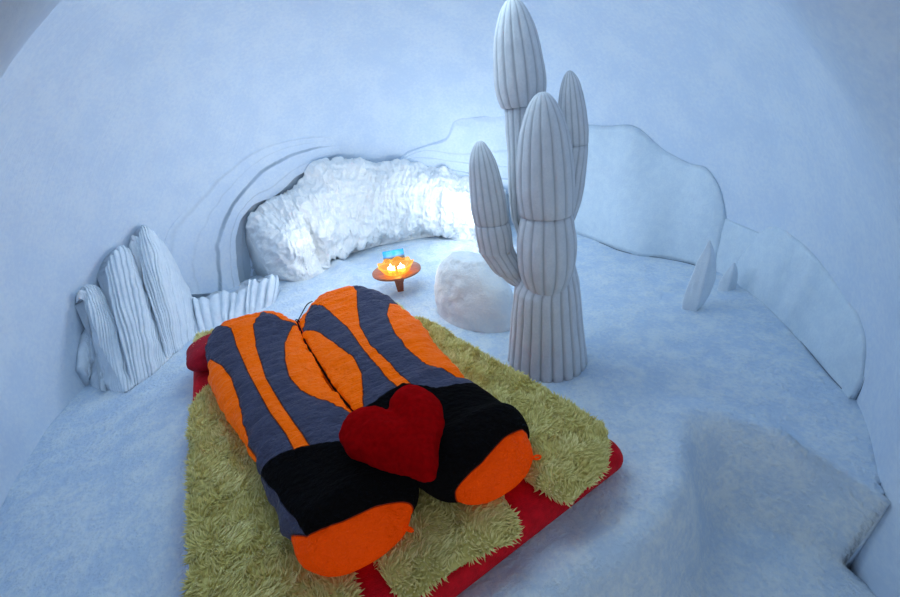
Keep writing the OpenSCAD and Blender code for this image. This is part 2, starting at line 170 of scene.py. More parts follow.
def outline_distance(points: np.ndarray, outline: np.ndarray) -> np.ndarray:
    """Signed distance to a closed outline in the plane.

    Args:
        points: Places in the plane, one a row.
        outline: Corners of the outline.

    Returns:
        The distance, above 0 inside the outline.
    """
    start, end = outline, np.roll(outline, -1, axis=0)
    edge = end - start
    away = points[:, None, :] - start[None]
    share = np.clip((away * edge).sum(-1) / np.maximum((edge * edge).sum(-1), 1e-12), 0, 1)
    gap = np.linalg.norm(away - share[..., None] * edge, axis=-1).min(1)
    above = (start[:, 1] > points[:, None, 1]) != (end[:, 1] > points[:, None, 1])
    with np.errstate(divide="ignore", invalid="ignore"):
        cross = start[:, 0] + (points[:, None, 1] - start[:, 1]) * edge[:, 0] / edge[:, 1]
    inside = (above & (points[:, None, 0] < cross)).sum(1) % 2 == 1
    return np.where(inside, gap, -gap)


def door_at(y: np.ndarray) -> tuple[np.ndarray, np.ndarray]:
    """Half width of the splayed doorway and height of its spring, at places along Y."""
    share = np.clip((np.asarray(y, float) + 2.85) / 1.55, -0.4, 1.0)
    return 0.87 + 0.19 * share, 1.1 - 0.1 * share


def grid_faces(rows: int, columns: int, closed: bool) -> np.ndarray:
    """Four-sided faces of a grid of points."""
    across = np.arange(columns if closed else columns - 1)
    beside = (across + 1) % columns
    start = np.arange(rows - 1)[:, None] * columns
    above = start + columns
    return np.stack([start + across, start + beside, above + beside, above + across], -1).reshape(-1, 4)


def mesh_object(name: str, vertices: np.ndarray, faces: Any, smooth: bool = True) -> Piece:
    """Makes a mesh object at the origin and links it to the scene."""
    mesh = bpy.data.meshes.new(name)
    mesh.from_pydata(np.asarray(vertices, float).tolist(), [], [list(map(int, f)) for f in faces])
    mesh.polygons.foreach_set("use_smooth", [smooth] * len(mesh.polygons))
    obj = bpy.data.objects.new(name, mesh)
    bpy.context.scene.collection.objects.link(obj)
    return obj


def clean_mesh(obj: Piece, merge: float = 0.0) -> Piece:
    """Merges doubled points and turns the faces outwards."""
    bm = bmesh.new()
    bm.from_mesh(obj.data)
    if merge:
        bmesh.ops.remove_doubles(bm, verts=bm.verts, dist=merge)
    bmesh.ops.recalc_face_normals(bm, faces=bm.faces)
    bm.to_mesh(obj.data)
    bm.free()
    return obj


def loft(name: str, rings: np.ndarray, smooth: bool = True) -> Piece:
    """Makes a closed solid through rings, with a fan over each end.

    Args:
        name: Name of the object.
        rings: Points by ring, by place round it, by axis.
        smooth: Whether it is shaded smooth.

    Returns:
        The new object.
    """
    rows, columns, _ = rings.shape
    vertices = np.concatenate([rings.reshape(-1, 3), [rings[0].mean(0)], [rings[-1].mean(0)]])
    turn = np.arange(columns)
    following = (turn + 1) % columns
    first, last = rows * columns, rows * columns + 1
    start = (rows - 1) * columns
    faces = grid_faces(rows, columns, True).tolist()
    faces += np.stack([np.full(columns, first), following, turn], 1).tolist()
    faces += np.stack([np.full(columns, last), start + turn, start + following], 1).tolist()
    return clean_mesh(mesh_object(name, vertices, faces, smooth))


def full_turn(count: int) -> np.ndarray:
    """Angles evenly round a circle."""
    return np.linspace(0, 2 * math.pi, count, endpoint=False)


def level_ring(plan: np.ndarray, z: float) -> np.ndarray:
    """Points of a plan at one height."""
    return np.column_stack([plan, np.full(len(plan), z)])


def turned_to(points: np.ndarray, at: Spot, turn: float, lift: float = 0.0) -> np.ndarray:
    """Turns points about Z, then moves them to a place and up."""
    c, s = math.cos(turn), math.sin(turn)
    x, y, z = np.moveaxis(points, -1, 0)
    return np.stack([at[0] + c * x - s * y, at[1] + s * x + c * y, z + lift], -1)


def around(angle: np.ndarray, r: np.ndarray | float, z: np.ndarray | float) -> np.ndarray:
    """Points at bearings, distances from the room's middle and heights."""
    return np.stack(np.broadcast_arrays(r * np.cos(angle), r * np.sin(angle), z), -1)


def room_r_at(h: np.ndarray | float) -> np.ndarray:
    """Distance from the middle of the room to its wall, at a height above the platform."""
    return np.sqrt(ROOM_R ** 2 - np.square(h))


def softened(length: int) -> np.ndarray:
    """Weights of a moving mean that rounds a curve."""
    weights = np.hanning(length)
    return weights / weights.sum()


def tube(name: str, path: np.ndarray, radius: float, sides: int = 8) -> Piece:
    """Makes a closed tube along a path."""
    way = np.gradient(path, axis=0)
    side = np.cross(way, (0.13, 0.05, 1.0))
    up = np.cross(side, way)
    side, up = (v / np.linalg.norm(v, axis=1, keepdims=True) for v in (side, up))
    turn = full_turn(sides)[None, :, None]
    return loft(name, path[:, None] + radius * (np.cos(turn) * side[:, None] + np.sin(turn) * up[:, None]))


def points_of(obj: Piece) -> np.ndarray:
    """Points of a mesh object, one a row."""
    data = np.empty(len(obj.data.vertices) * 3)
    obj.data.vertices.foreach_get("co", data)
    return data.reshape(-1, 3)


def move_points(obj: Piece, points: np.ndarray) -> None:
    """Gives a mesh object new places for its points."""
    obj.data.vertices.foreach_set("co", np.ascontiguousarray(points, float).ravel())
    obj.data.update()


def normals_of(obj: Piece) -> np.ndarray:
    """Outward direction at each point of a mesh object."""
    data = np.empty(len(obj.data.vertices) * 3, np.float32)
    obj.data.vertex_normals.foreach_get("vector", data)
    return data.reshape(-1, 3).astype(float)


def shade_smooth(obj: Piece) -> None:
    """Shades a mesh object smooth all over."""
    obj.data.polygons.foreach_set("use_smooth", [True] * len(obj.data.polygons))


def push(obj: Piece, points: np.ndarray, amount: np.ndarray, lowest: float = 0.0) -> None:
    """Moves a mesh object's points outwards by an amount each, though never below a height."""
    points = points + normals_of(obj) * amount[:, None]
    points[:, 2] = np.maximum(points[:, 2], lowest)
    move_points(obj, points)


def store(obj: Piece, name: str, values: np.ndarray) -> None:
    """Keeps one number for each point as an attribute of the mesh."""
    layer = obj.data.attributes.new(name, "FLOAT", "POINT")
    layer.data.foreach_set("value", np.ascontiguousarray(values, np.float32))


def join_meshes(name: str, parts: Sequence[Piece]) -> Piece:
    """Joins mesh objects into one new object and removes them.

    Args:
        name: Name of the new object.
        parts: Objects to join, all at the origin.

    Returns:
        The joined object.
    """
    bm = bmesh.new()
    for part in parts:
        bm.from_mesh(part.data)
    mesh = bpy.data.meshes.new(name)
    bm.to_mesh(mesh)
    bm.free()
    for part in parts:
        bpy.data.objects.remove(part)
    obj = bpy.data.objects.new(name, mesh)
    bpy.context.scene.collection.objects.link(obj)
    return obj


def bake_modifiers(obj: Piece) -> Piece:
    """Turns an object's modifiers into a plain mesh."""
    bpy.context.view_layer.update()
    graph = bpy.context.evaluated_depsgraph_get()
    mesh = bpy.data.meshes.new_from_object(obj.evaluated_get(graph), depsgraph=graph)
    obj.modifiers.clear()
    obj.data = mesh
    return obj


def finish_piece(piece: Piece, material: bpy.types.Material,
                 nodes: Sequence[str] = ()) -> Piece:
    """Gives a piece its material, hides the CAD nodes that it stands for and parents it to the root body.

    Args:
        piece: New mesh object, in place.
        material: Its material.
        nodes: CAD nodes that it stands for.

    Returns:
        The same piece.
    """
    piece.data.materials.clear()
    piece.data.materials.append(material)
    if nodes:
        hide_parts(*nodes)
    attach(piece, BODY)
    LOG.info("%s: %d faces", piece.name, len(piece.data.polygons))
    return piece


class Graph:
    """Short way to write a node tree."""

    def __init__(self, tree: bpy.types.NodeTree) -> None:
        """Keeps the tree to write to."""
        self.tree = tree

    def feed(self, socket: Socket, value: Any) -> None:
        """Links a socket to another, or sets its value."""
        if isinstance(value, bpy.types.NodeSocket):
            self.tree.links.new(value, socket)
        else:
            socket.default_value = rgba(value) if socket.type == "RGBA" else value

    def add(self, kind: str, inputs: dict[Any, Any] | None = None, **settings: Any) -> bpy.types.Node:
        """Adds a node.

        Args:
            kind: Type name of the node.
            inputs: Values or sockets for its inputs, by name or number.
            settings: Its other settings, which are set first.

        Returns:
            The new node.
        """
        node = self.tree.nodes.new(kind)
        for key, value in settings.items():
            setattr(node, key, value)
        for key, value in (inputs or {}).items():
            self.feed(node.inputs[key], value)
        return node

    def math(self, operation: str, *values: Any) -> Socket:
        """Adds a Math node and returns its result."""
        return self.add("ShaderNodeMath", dict(enumerate(values)), operation=operation).outputs[0]

    def plus(self, base: Any, extra: Any, share: Any) -> Socket:
        """Adds a share of an extra value to a base value."""
        return self.math("MULTIPLY_ADD", extra, share, base)

    def vector(self, operation: str, first: Any, second: Any) -> Socket:
        """Adds a Vector Math node and returns its vector."""
        return self.add("ShaderNodeVectorMath", {0: first, 1: second}, operation=operation).outputs[0]

    def parts(self, vector: Any) -> Any:
        """Splits a vector into its three values."""
        return self.add("ShaderNodeSeparateXYZ", {0: vector}).outputs

    def mix(self, factor: Any, first: Any, second: Any) -> Socket:
        """Adds a colour Mix node and returns its result."""
        return self.add("ShaderNodeMix", {0: factor, 6: first, 7: second}, data_type="RGBA").outputs[2]

    def noise(self, vector: Any, scale: Any, detail: float = 2.0, rough: float = 0.5) -> Socket:
        """Adds a Noise Texture node and returns its value."""
        inputs = {"Vector": vector, "Scale": scale, "Detail": detail, "Roughness": rough}
        return self.add("ShaderNodeTexNoise", inputs).outputs[0]

    def band(self, value: Any, low: float, high: float) -> Socket:
        """Rises smoothly from 0 where a value is low to 1 where it is high."""
        inputs = {"Value": value, "From Min": low, "From Max": high}
        return self.add("ShaderNodeMapRange", inputs, interpolation_type="SMOOTHSTEP").outputs[0]

    def place(self) -> Socket:
        """Object coordinates."""
        return self.add("ShaderNodeTexCoord").outputs["Object"]

    def attribute(self, name: str) -> Socket:
        """Value of a mesh attribute."""
        return self.add("ShaderNodeAttribute", attribute_name=name).outputs["Fac"]

    def bump(self, height: Any, distance: float, strength: float = 1.0) -> Socket:
        """Adds a Bump node and returns its normal."""
        inputs = {"Height": height, "Distance": distance, "Strength": strength}
        return self.add("ShaderNodeBump", inputs).outputs[0]

    def surface(self, inputs: dict[str, Any]) -> None:
        """Adds the main shader with its inputs, and the material's output."""
        shader = self.add("ShaderNodeBsdfPrincipled", inputs)
        self.add("ShaderNodeOutputMaterial", {"Surface": shader.outputs[0]})


def rgba(colour: Sequence[float]) -> tuple[float, ...]:
    """Adds full opacity to a plain colour."""
    return (*colour, 1.0)[:4]


def dimmed(colour: Colour, share: float) -> Colour:
    """A colour times a share of its light."""
    return tuple(c * share for c in colour)


def new_material(name: str) -> tuple[bpy.types.Material, Graph]:
    """Starts an empty material and returns it with its graph."""
    material = bpy.data.materials.new(name)
    material.use_nodes = True
    material.node_tree.nodes.clear()
    return material, Graph(material.node_tree)


def effect(name: str, inputs: dict[str, float],
           draw: Callable[[Graph, Any], dict[str, Any]]) -> bpy.types.NodeTree:
    """Makes a shader group.

    Args:
        name: Name of the group.
        inputs: Default of each float input.
        draw: Draws the group from its given inputs and returns the float outputs by name.

    Returns:
        The group.
    """
    tree = bpy.data.node_groups.new(name, "ShaderNodeTree")
    for key, value in inputs.items():
        tree.interface.new_socket(key, in_out="INPUT", socket_type="NodeSocketFloat").default_value = value
    graph = Graph(tree)
    results = draw(graph, graph.add("NodeGroupInput").outputs)
    for key in results:
        tree.interface.new_socket(key, in_out="OUTPUT", socket_type="NodeSocketFloat")
    graph.add("NodeGroupOutput", results)
    return tree


class Effects:
    """Shader groups that several materials use."""

    def __init__(self) -> None:
        """Builds every group once."""
        snow = {"Fine": 420.0, "Crumbs": 70.0, "Lumps": 11.0, "Crumb Share": 0.35}
        self.grain = effect("snow_grain", snow, self._grain)
        self.scrapes = effect("scrape_marks", {"Across": 150.0, "Along": 2.2}, self._scrapes)
        self.weave = effect("plain_weave", {"Threads": 900.0}, self._weave)

    @staticmethod
    def _grain(graph: Graph, given: Any) -> dict[str, Any]:
        """Packed snow: crystals, small crumbs and broad soft lumps."""
        place = graph.place()
        fine = graph.noise(place, given["Fine"], 2.0, 0.6)
        crumbs = graph.noise(place, given["Crumbs"], 4.0, 0.62)
        lumps = graph.noise(place, given["Lumps"], 3.0)
        height = graph.plus(graph.plus(lumps, crumbs, given["Crumb Share"]), fine, 0.06)
        return {"Height": height, "Shade": graph.band(graph.math("ADD", lumps, crumbs), 0.75, 1.3)}

    @staticmethod
    def _scrapes(graph: Graph, given: Any) -> dict[str, Any]:
        """Long fine marks of the scraper, running up the wall."""
        x, y, z = graph.parts(graph.place())
        azimuth = graph.math("ARCTAN2", y, x)
        across = graph.math("MULTIPLY", graph.plus(azimuth, z, 0.22), given["Across"])
        along = graph.math("MULTIPLY", graph.plus(z, azimuth, 0.35), given["Along"])
        wall = graph.add("ShaderNodeCombineXYZ", {0: across, 1: along}).outputs[0]
        return {"Height": graph.noise(wall, 1.0, 3.0, 0.6)}

    @staticmethod
    def _weave(graph: Graph, given: Any) -> dict[str, Any]:
        """Plain weave with a little unevenness."""
        place = graph.place()
        turns = (graph.math("MULTIPLY", axis, given["Threads"]) for axis in graph.parts(place))
        x, y, z = (graph.math("SINE", turn) for turn in turns)
        cross = graph.math("MULTIPLY", graph.math("ADD", x, z), y)
        uneven = graph.noise(place, 60.0, 3.0)
        return {"Height": graph.plus(uneven, cross, 0.25), "Shade": uneven}


@dataclass(frozen=True)
class Finish:
    """Recipe of a material, whose surface each kind of finish draws."""

    name: str

    def build(self, effects: Effects) -> bpy.types.Material:
        """Makes the material with the shared shader groups."""
        material, graph = new_material(self.name)
        graph.surface(self.draw(graph, effects))
        return material

    def draw(self, graph: Graph, effects: Effects) -> dict[str, Any]:
        """Draws the surface and returns the main shader's inputs."""
        raise NotImplementedError


@dataclass(frozen=True)
class SnowFinish(Finish):
    """Snow in one state, from blown wall to trodden floor."""

    light: Colour
    shade: Colour
    crumbs: float = 70.0
    lumps: float = 11.0
    crumb_share: float = 0.35
    relief: float = 0.01
    scraped: bool = False
    # Painted shade: name of a point attribute whose mask mixes the dark colour below into the snow, for shade
    # in grooves, at steps and under the doorway arch.
    darkened_by: str = ""
    dark: Colour = (0.3, 0.3, 0.31)

    def draw(self, graph: Graph, effects: Effects) -> dict[str, Any]:
        """Draws the grain, the painted shade that a mask attribute mixes in, and the scraped left wall."""
        states = {"Crumbs": self.crumbs, "Lumps": self.lumps, "Crumb Share": self.crumb_share}
        height, shade = graph.add("ShaderNodeGroup", states, node_tree=effects.grain).outputs
        colour = graph.mix(shade, self.shade, self.light)
        # Painted shade mixed in by the mask attribute.
        if self.darkened_by:
            colour = graph.mix(graph.attribute(self.darkened_by), colour, self.dark)
        if self.scraped:
            x, _, z = graph.parts(graph.place())
            marks = graph.add("ShaderNodeGroup", node_tree=effects.scrapes).outputs[0]
            high = graph.math("MULTIPLY", graph.band(x, -0.55, -1.25), graph.band(z, 0.9, 1.4))
            height = graph.plus(height, graph.math("MULTIPLY", marks, 0.55), high)
        return {"Base Color": colour, "Normal": graph.bump(height, self.relief), "Roughness": 0.62,
                "Specular IOR Level": 0.25}


@dataclass(frozen=True)
class ClothFinish(Finish):
    """Woven or plush fabric of one colour."""

    light: Colour
    shade: Colour
    roughness: float
    threads: float = 900.0
    relief: float = 0.0012
    creases: float = 26.0
    specular: float = 0.15

    def draw(self, graph: Graph, effects: Effects) -> dict[str, Any]:
        """Draws the weave with soft folds, with painted shade where the folds dip and random unevenness of
        the weave.
        """
        weave = graph.add("ShaderNodeGroup", {"Threads": self.threads}, node_tree=effects.weave)
        height, shade = weave.outputs
        folds = graph.noise(graph.place(), self.creases, 4.0, 0.6)
        # Painted shade: the colour goes towards the shade colour where the fold relief dips, mixed with the
        # weave's random unevenness.
        weave_tone_and_fold_shade = graph.plus(graph.math("MULTIPLY", shade, 0.6), folds, 0.5)
        return {"Base Color": graph.mix(graph.band(weave_tone_and_fold_shade, 0.3, 0.8), self.shade, self.light),
                "Normal": graph.bump(graph.plus(height, folds, 2.0), self.relief),
                "Roughness": self.roughness, "Specular IOR Level": self.specular}


@dataclass(frozen=True)
class WoolFinish(Finish):
    """Long matted wool with painted shade: darker and greener towards the roots, in its hollows."""

    tip: Colour = (0.98, 0.9, 0.46)
    # Colour at the roots, which carries the painted shade of the wool's hollows.
    root: Colour = (0.6, 0.53, 0.16)
    dull: Colour = (0.82, 0.73, 0.27)

    def draw(self, graph: Graph, effects: Effects) -> dict[str, Any]:
        """Draws the wool from root to tip, in patches."""
        place = graph.place()
        patches = graph.band(graph.noise(place, 9.0, 4.0, 0.6), 0.35, 0.68)
        strands = graph.noise(graph.vector("MULTIPLY", place, (1.0, 1.0, 0.4)), 160.0, 3.0)
        tip = graph.mix(patches, self.dull, self.tip)
        colour = graph.mix(graph.band(graph.attribute("tip"), 0.0, 0.75), self.root, tip)
        return {"Base Color": graph.mix(graph.math("MULTIPLY", strands, 0.45), colour, self.dull),
                "Normal": graph.bump(strands, 0.003), "Roughness": 0.85, "Sheen Weight": 0.25}


@dataclass(frozen=True)
class BagFinish(Finish):
    """Thin shiny quilted shell in orange, slate and black panels, with a painted glow of its own colour."""

    orange: Colour = (1.0, 0.155, 0.0)
    foot: Colour = (0.95, 0.075, 0.0)
    slate: Colour = (0.042, 0.049, 0.094)
    black: Colour = (0.001, 0.001, 0.0014)
    seam: float = 0.0035
    edge: float = 0.0012

    def draw(self, graph: Graph, effects: Effects) -> dict[str, Any]:
        """Draws the panels, their seams and the creased shell."""
        place = graph.place()
        orange, black, foot = (graph.attribute(name) for name in ("orange", "black", "foot"))
        cloudy = graph.noise(place, 14.0, 4.0, 0.6)
        bright = graph.mix(foot, self.orange, self.foot)
        bright = graph.mix(cloudy, graph.mix(0.3, bright, (0.0, 0.0, 0.0)), bright)
        grey = graph.mix(cloudy, dimmed(self.slate, 0.7), dimmed(self.slate, 1.25))
        colour = graph.mix(graph.band(orange, -self.edge, self.edge), grey, bright)
        dull = graph.band(black, -self.edge, self.edge)
        colour = graph.mix(dull, colour, self.black)
        near = graph.math("MINIMUM", graph.math("ABSOLUTE", orange), graph.math("ABSOLUTE", black))
        seam = graph.band(near, self.seam, self.seam * 0.3)
        colour = graph.mix(graph.math("MULTIPLY", seam, 0.65), colour, self.black)
        wrinkled = graph.noise(graph.vector("MULTIPLY", place, (1.0, 2.2, 1.0)), 20.0, 5.0, 0.6)
        sharp = graph.math("ABSOLUTE", graph.math("SUBTRACT", graph.noise(place, 34.0, 3.0), 0.5))
        height = graph.plus(graph.math("SUBTRACT", wrinkled, sharp), graph.noise(place, 130.0, 3.0), 0.12)
        # Painted light: the shell's colour is also emitted as a glow, though the bag is no lamp.
        return {"Base Color": colour, "Normal": graph.bump(graph.plus(height, seam, -0.5), 0.022),
                "Roughness": graph.plus(0.42, dull, 0.5), "Specular IOR Level": 0.08,
                "Emission Color": colour, "Emission Strength": 0.25}


@dataclass(frozen=True)
class WoodFinish(Finish):
    """Oiled red-brown wood."""

    light: Colour = (0.55, 0.17, 0.06)
    dark: Colour = (0.26, 0.055, 0.02)

    def draw(self, graph: Graph, effects: Effects) -> dict[str, Any]:
        """Draws the grain along the board."""
        place = graph.place()
        bent = graph.noise(graph.vector("MULTIPLY", place, (2.0, 14.0, 2.0)), 3.0, 4.0, 0.6)
        lines = graph.noise(graph.vector("MULTIPLY", place, (3.0, 60.0, 12.0)), 6.0, 3.0)
        grain = graph.plus(graph.math("MULTIPLY", bent, 0.6), lines, 0.5)
        return {"Base Color": graph.mix(graph.band(grain, 0.35, 0.75), self.dark, self.light),
                "Normal": graph.bump(grain, 0.001), "Roughness": 0.38, "Coat Weight": 0.25}


@dataclass(frozen=True)
class ClearFinish(Finish):
    """Glass or clear acrylic."""

    tint: Colour
    ior: float
    roughness: float
    # Strength of a painted glow in the tint, though the body is no lamp.
    glow: float = 0.0

    def draw(self, graph: Graph, effects: Effects) -> dict[str, Any]:
        """Draws the clear body with a slightly uneven surface and a painted glow in its tint."""
        return {"Normal": graph.bump(graph.noise(graph.place(), 30.0, 3.0), 0.002, 0.4),
                "Base Color": self.tint, "Emission Color": self.tint, "Emission Strength": self.glow,
                "Roughness": self.roughness, "IOR": self.ior, "Transmission Weight": 1.0}


@dataclass(frozen=True)
class GlowFinish(Finish):
    """Wax, sweets and flames near the candle light; the glow of the wax and the sweets is painted candle
    light.
    """

    colour: Colour
    glow: Colour
    strength: float
    roughness: float = 0.5

    def draw(self, graph: Graph, effects: Effects) -> dict[str, Any]:
        """Draws the mottled glowing body."""
        mottle = graph.noise(graph.place(), 60.0, 3.0)
        return {"Base Color": graph.mix(mottle, dimmed(self.colour, 0.8), self.colour),
                "Normal": graph.bump(mottle, 0.001), "Roughness": self.roughness,
                "Emission Color": self.glow, "Emission Strength": self.strength}


@dataclass(frozen=True)
class PrintFinish(Finish):
    """Plain two-tone card: blue above, darker below."""

    above: Colour = (0.004, 0.15, 0.42)
    below: Colour = (0.04, 0.05, 0.06)
    split_z: float = 0.66

    def draw(self, graph: Graph, effects: Effects) -> dict[str, Any]:
        """Draws the two tones with a wavy border."""
        place = graph.place()
        height = graph.plus(graph.parts(place)[2], graph.noise(place, 20.0, 3.0), 0.02)
        level = graph.band(height, self.split_z, self.split_z + 0.03)
        return {"Base Color": graph.mix(level, self.below, self.above), "Roughness": 0.25}


class Wardrobe:
    """Every material of the scene, built once."""

    def __init__(self) -> None:
        """Builds the materials."""
        wall = {"light": (0.73, 0.84, 0.97), "shade": (0.63, 0.76, 0.94), "relief": 0.007, "crumbs": 45.0,
                "lumps": 4.0, "crumb_share": 0.22}
        rough = {"crumbs": 80.0, "lumps": 16.0}
        # Fluted and ribbed snow mix in painted shade, a darker colour deep in the flutes and grooves.
        smooth = {"relief": 0.004, "crumbs": 110.0, "lumps": 18.0, "darkened_by": "groove"}
        finishes = {
            # The wall mixes in painted shadow under the doorway arch, from the mask stored on the dome.
            "wall": SnowFinish("snow_wall", **wall, scraped=True, darkened_by="painted_arch_shadow"),
            "floor": SnowFinish("snow_floor", (0.8, 0.9, 0.99), (0.6, 0.75, 0.94), 55.0, 9.0, 0.5, 0.022),
            "carved": SnowFinish("carved_snow", (0.7, 0.83, 0.94), (0.62, 0.76, 0.9), relief=0.006, **rough),
            "ridge": SnowFinish("ridge_snow", (0.95, 0.97, 0.98), (0.86, 0.91, 0.96), **rough),
            "fluted": SnowFinish("fluted_snow", (0.8, 0.89, 0.98), (0.72, 0.82, 0.94),
                                 dark=(0.45, 0.54, 0.64), **smooth),
            # The cactus snow is painted greyer and darker than the wall: painted shade, as the cactus stands
            # backlit; its darker colour in the grooves is painted shade too.
            "ribbed": SnowFinish("ribbed_snow", (0.76, 0.8, 0.86), (0.68, 0.73, 0.8),
                                 dark=(0.47, 0.51, 0.57), **smooth),
            # The strata mix in dark blue-grey painted shade at the steps of the ledges and in the recess.
            "strata": SnowFinish("strata_snow", **wall, darkened_by="groove", dark=(0.22, 0.3, 0.38)),
            "mattress": ClothFinish("mattress_cover", (0.78, 0.006, 0.02), (0.52, 0.003, 0.012), 0.7),
            "pillow": ClothFinish("pillow_cover", (0.5, 0.005, 0.022), (0.32, 0.003, 0.014), 0.62),
            "plush": ClothFinish("heart_plush", (0.52, 0.001, 0.003), (0.38, 0.0008, 0.002), 0.95,
                                 threads=2400.0, relief=0.003, creases=60.0, specular=0.03),
            "wool": WoolFinish("sheepskin"), "bag": BagFinish("bag_shell"), "wood": WoodFinish("table_wood"),
            # The dish glows amber with painted candle light.
            "glass": ClearFinish("dish_glass", (1.0, 0.52, 0.1), 1.45, 0.04, 0.35),
            "acrylic": ClearFinish("holder_acrylic", (0.95, 0.99, 1.0), 1.2, 0.02),
            # The wax glows with painted candle light; the flames are the candles' own light.
            "wax": GlowFinish("candle_wax", (1.0, 0.88, 0.62), (1.0, 0.74, 0.28), 3.0),
            "flame": GlowFinish("candle_flame", (1.0, 0.8, 0.4), (1.0, 0.8, 0.45), 16.0),
            # Dark snow of the painted shadow lines at the foot of the slabs.
            "gap": SnowFinish("shadow_gap", (0.22, 0.3, 0.4), (0.14, 0.2, 0.3)),
            # The sweets glow with painted candle light.
            "sweets": GlowFinish("sweets", (0.85, 0.3, 0.03), (1.0, 0.35, 0.04), 0.25, 0.3),
            "print": PrintFinish("card_print")}
        effects = Effects()
        self.materials = {key: finish.build(effects) for key, finish in finishes.items()}

    def __getattr__(self, key: str) -> bpy.types.Material:
        """Material of a finish."""
        return self.materials[key]


@dataclass(frozen=True)
class DoorwayCamera:
    """Wide camera that looks down into the room from the doorway."""

    eye: Point = (-0.353, -2.2286, 1.652)
    right: Point = (0.9521, -0.2841, -0.1135)
    down: Point = (-0.2263, -0.4044, -0.8861)
    forward: Point = (0.2058, 0.8693, -0.4493)
    lens: float = 15.2
    sensor: float = 36.0

    def place(self) -> Piece:
        """Adds the camera and makes it the scene's."""
        data = bpy.data.cameras.new("camera")
        data.lens, data.sensor_width, data.clip_start = self.lens, self.sensor, 0.02
        camera = bpy.data.objects.new("camera", data)
        turn = Matrix([self.right, [-v for v in self.down], [-v for v in self.forward]]).transposed()
        camera.matrix_world = Matrix.Translation(self.eye) @ turn.to_4x4()
        bpy.context.scene.collection.objects.link(camera)
        bpy.context.scene.camera = camera
        return camera


@dataclass(frozen=True)
class Studio:
    """Floor, world and lamps."""

    ambient: Colour = (0.84, 0.94, 1.0)
    ambient_level: float = 0.32
    backdrop: Colour = (0.9, 0.93, 0.96)
    floor_size: float = 60.0

    def build(self) -> None:
        """Builds the whole studio."""
        self._world()
        self._floor()
        self._lamp("key", "SUN", 2.0, (1.0, 0.98, 0.95), (5.0, 1.0, 9.0), (0.0, 0.0, 0.0), angle=0.35)
        self._lamp("crown", "AREA", 18.0, (0.72, 0.92, 1.0), (-0.2, -0.3, 2.36), (-0.2, -0.3, 0.0), size=1.4)
        self._lamp("glow", "POINT", 9.0, (0.9, 0.98, 1.0), (0.65, 1.1, 0.9), (0.0, 0.0, 0.0), size=0.15)
        self._lamp("snout", "POINT", 4.8, (0.95, 0.98, 1.0), (-0.55, 0.85, 1.0), (0.0, 0.0, 0.0), size=0.15)
        self._lamp("candle", "POINT", 5.5, (1.0, 0.97, 0.92), (-0.1, 0.42, 0.71), (0.0, 0.0, 0.0), size=0.04)

    def _world(self) -> None:
        """Even pale light, with a plain backdrop for the eye and for reflections."""
        world = bpy.data.worlds.new("world")
        bpy.context.scene.world = world
        world.use_nodes = True
        world.node_tree.nodes.clear()
        graph = Graph(world.node_tree)
        path = graph.add("ShaderNodeLightPath")
        seen = graph.math("MAXIMUM", path.outputs["Is Camera Ray"], graph.math(
            "MAXIMUM", path.outputs["Is Glossy Ray"], path.outputs["Is Transmission Ray"]))
        light = graph.add("ShaderNodeBackground", {"Color": self.ambient, "Strength": self.ambient_level})
        plain = graph.add("ShaderNodeBackground", {"Color": self.backdrop, "Strength": 1.0})
        mixed = graph.add("ShaderNodeMixShader", {0: seen, 1: light.outputs[0], 2: plain.outputs[0]})
        graph.add("ShaderNodeOutputWorld", {"Surface": mixed.outputs[0]})

    def _floor(self) -> None:
        """Plain pale ground."""
        half = self.floor_size / 2
        corners = [(x * half, y * half, -0.001) for x, y in ((-1, -1), (1, -1), (1, 1), (-1, 1))]
        floor = mesh_object("stage_floor", np.array(corners), [(0, 1, 2, 3)], smooth=False)
        material, graph = new_material("stage_floor")
        graph.surface({"Base Color": (0.8, 0.83, 0.86), "Roughness": 0.9})
        floor.data.materials.append(material)

    @staticmethod
    def _lamp(name: str, kind: str, power: float, colour: Colour, at: Point, towards: Point,
              size: float = 0.1, angle: float = 0.0) -> None:
        """Adds one lamp that the camera doesn't see.

        Args:
            name: Name of the lamp.
            kind: Blender's type of lamp.
            power: Watts, or strength of a sun.
            colour: Its colour.
            at: Where it stands.
            towards: What it points at.
            size: Width of an area lamp or radius of a point lamp.
            angle: Apparent size of a sun.
        """
        data = bpy.data.lights.new(name, kind)
        data.energy, data.color = power, colour
        if kind == "AREA":
            data.shape, data.size = "DISK", size
        elif kind == "POINT":
            data.shadow_soft_size = size
        else:
            data.angle = angle
        lamp = bpy.data.objects.new(name, data)
        aim = Vector(at) - Vector(towards)
        lamp.location = at
        lamp.rotation_euler = aim.to_track_quat("Z", "Y").to_euler()
        lamp.visible_camera = lamp.visible_glossy = False
        bpy.context.scene.collection.objects.link(lamp)


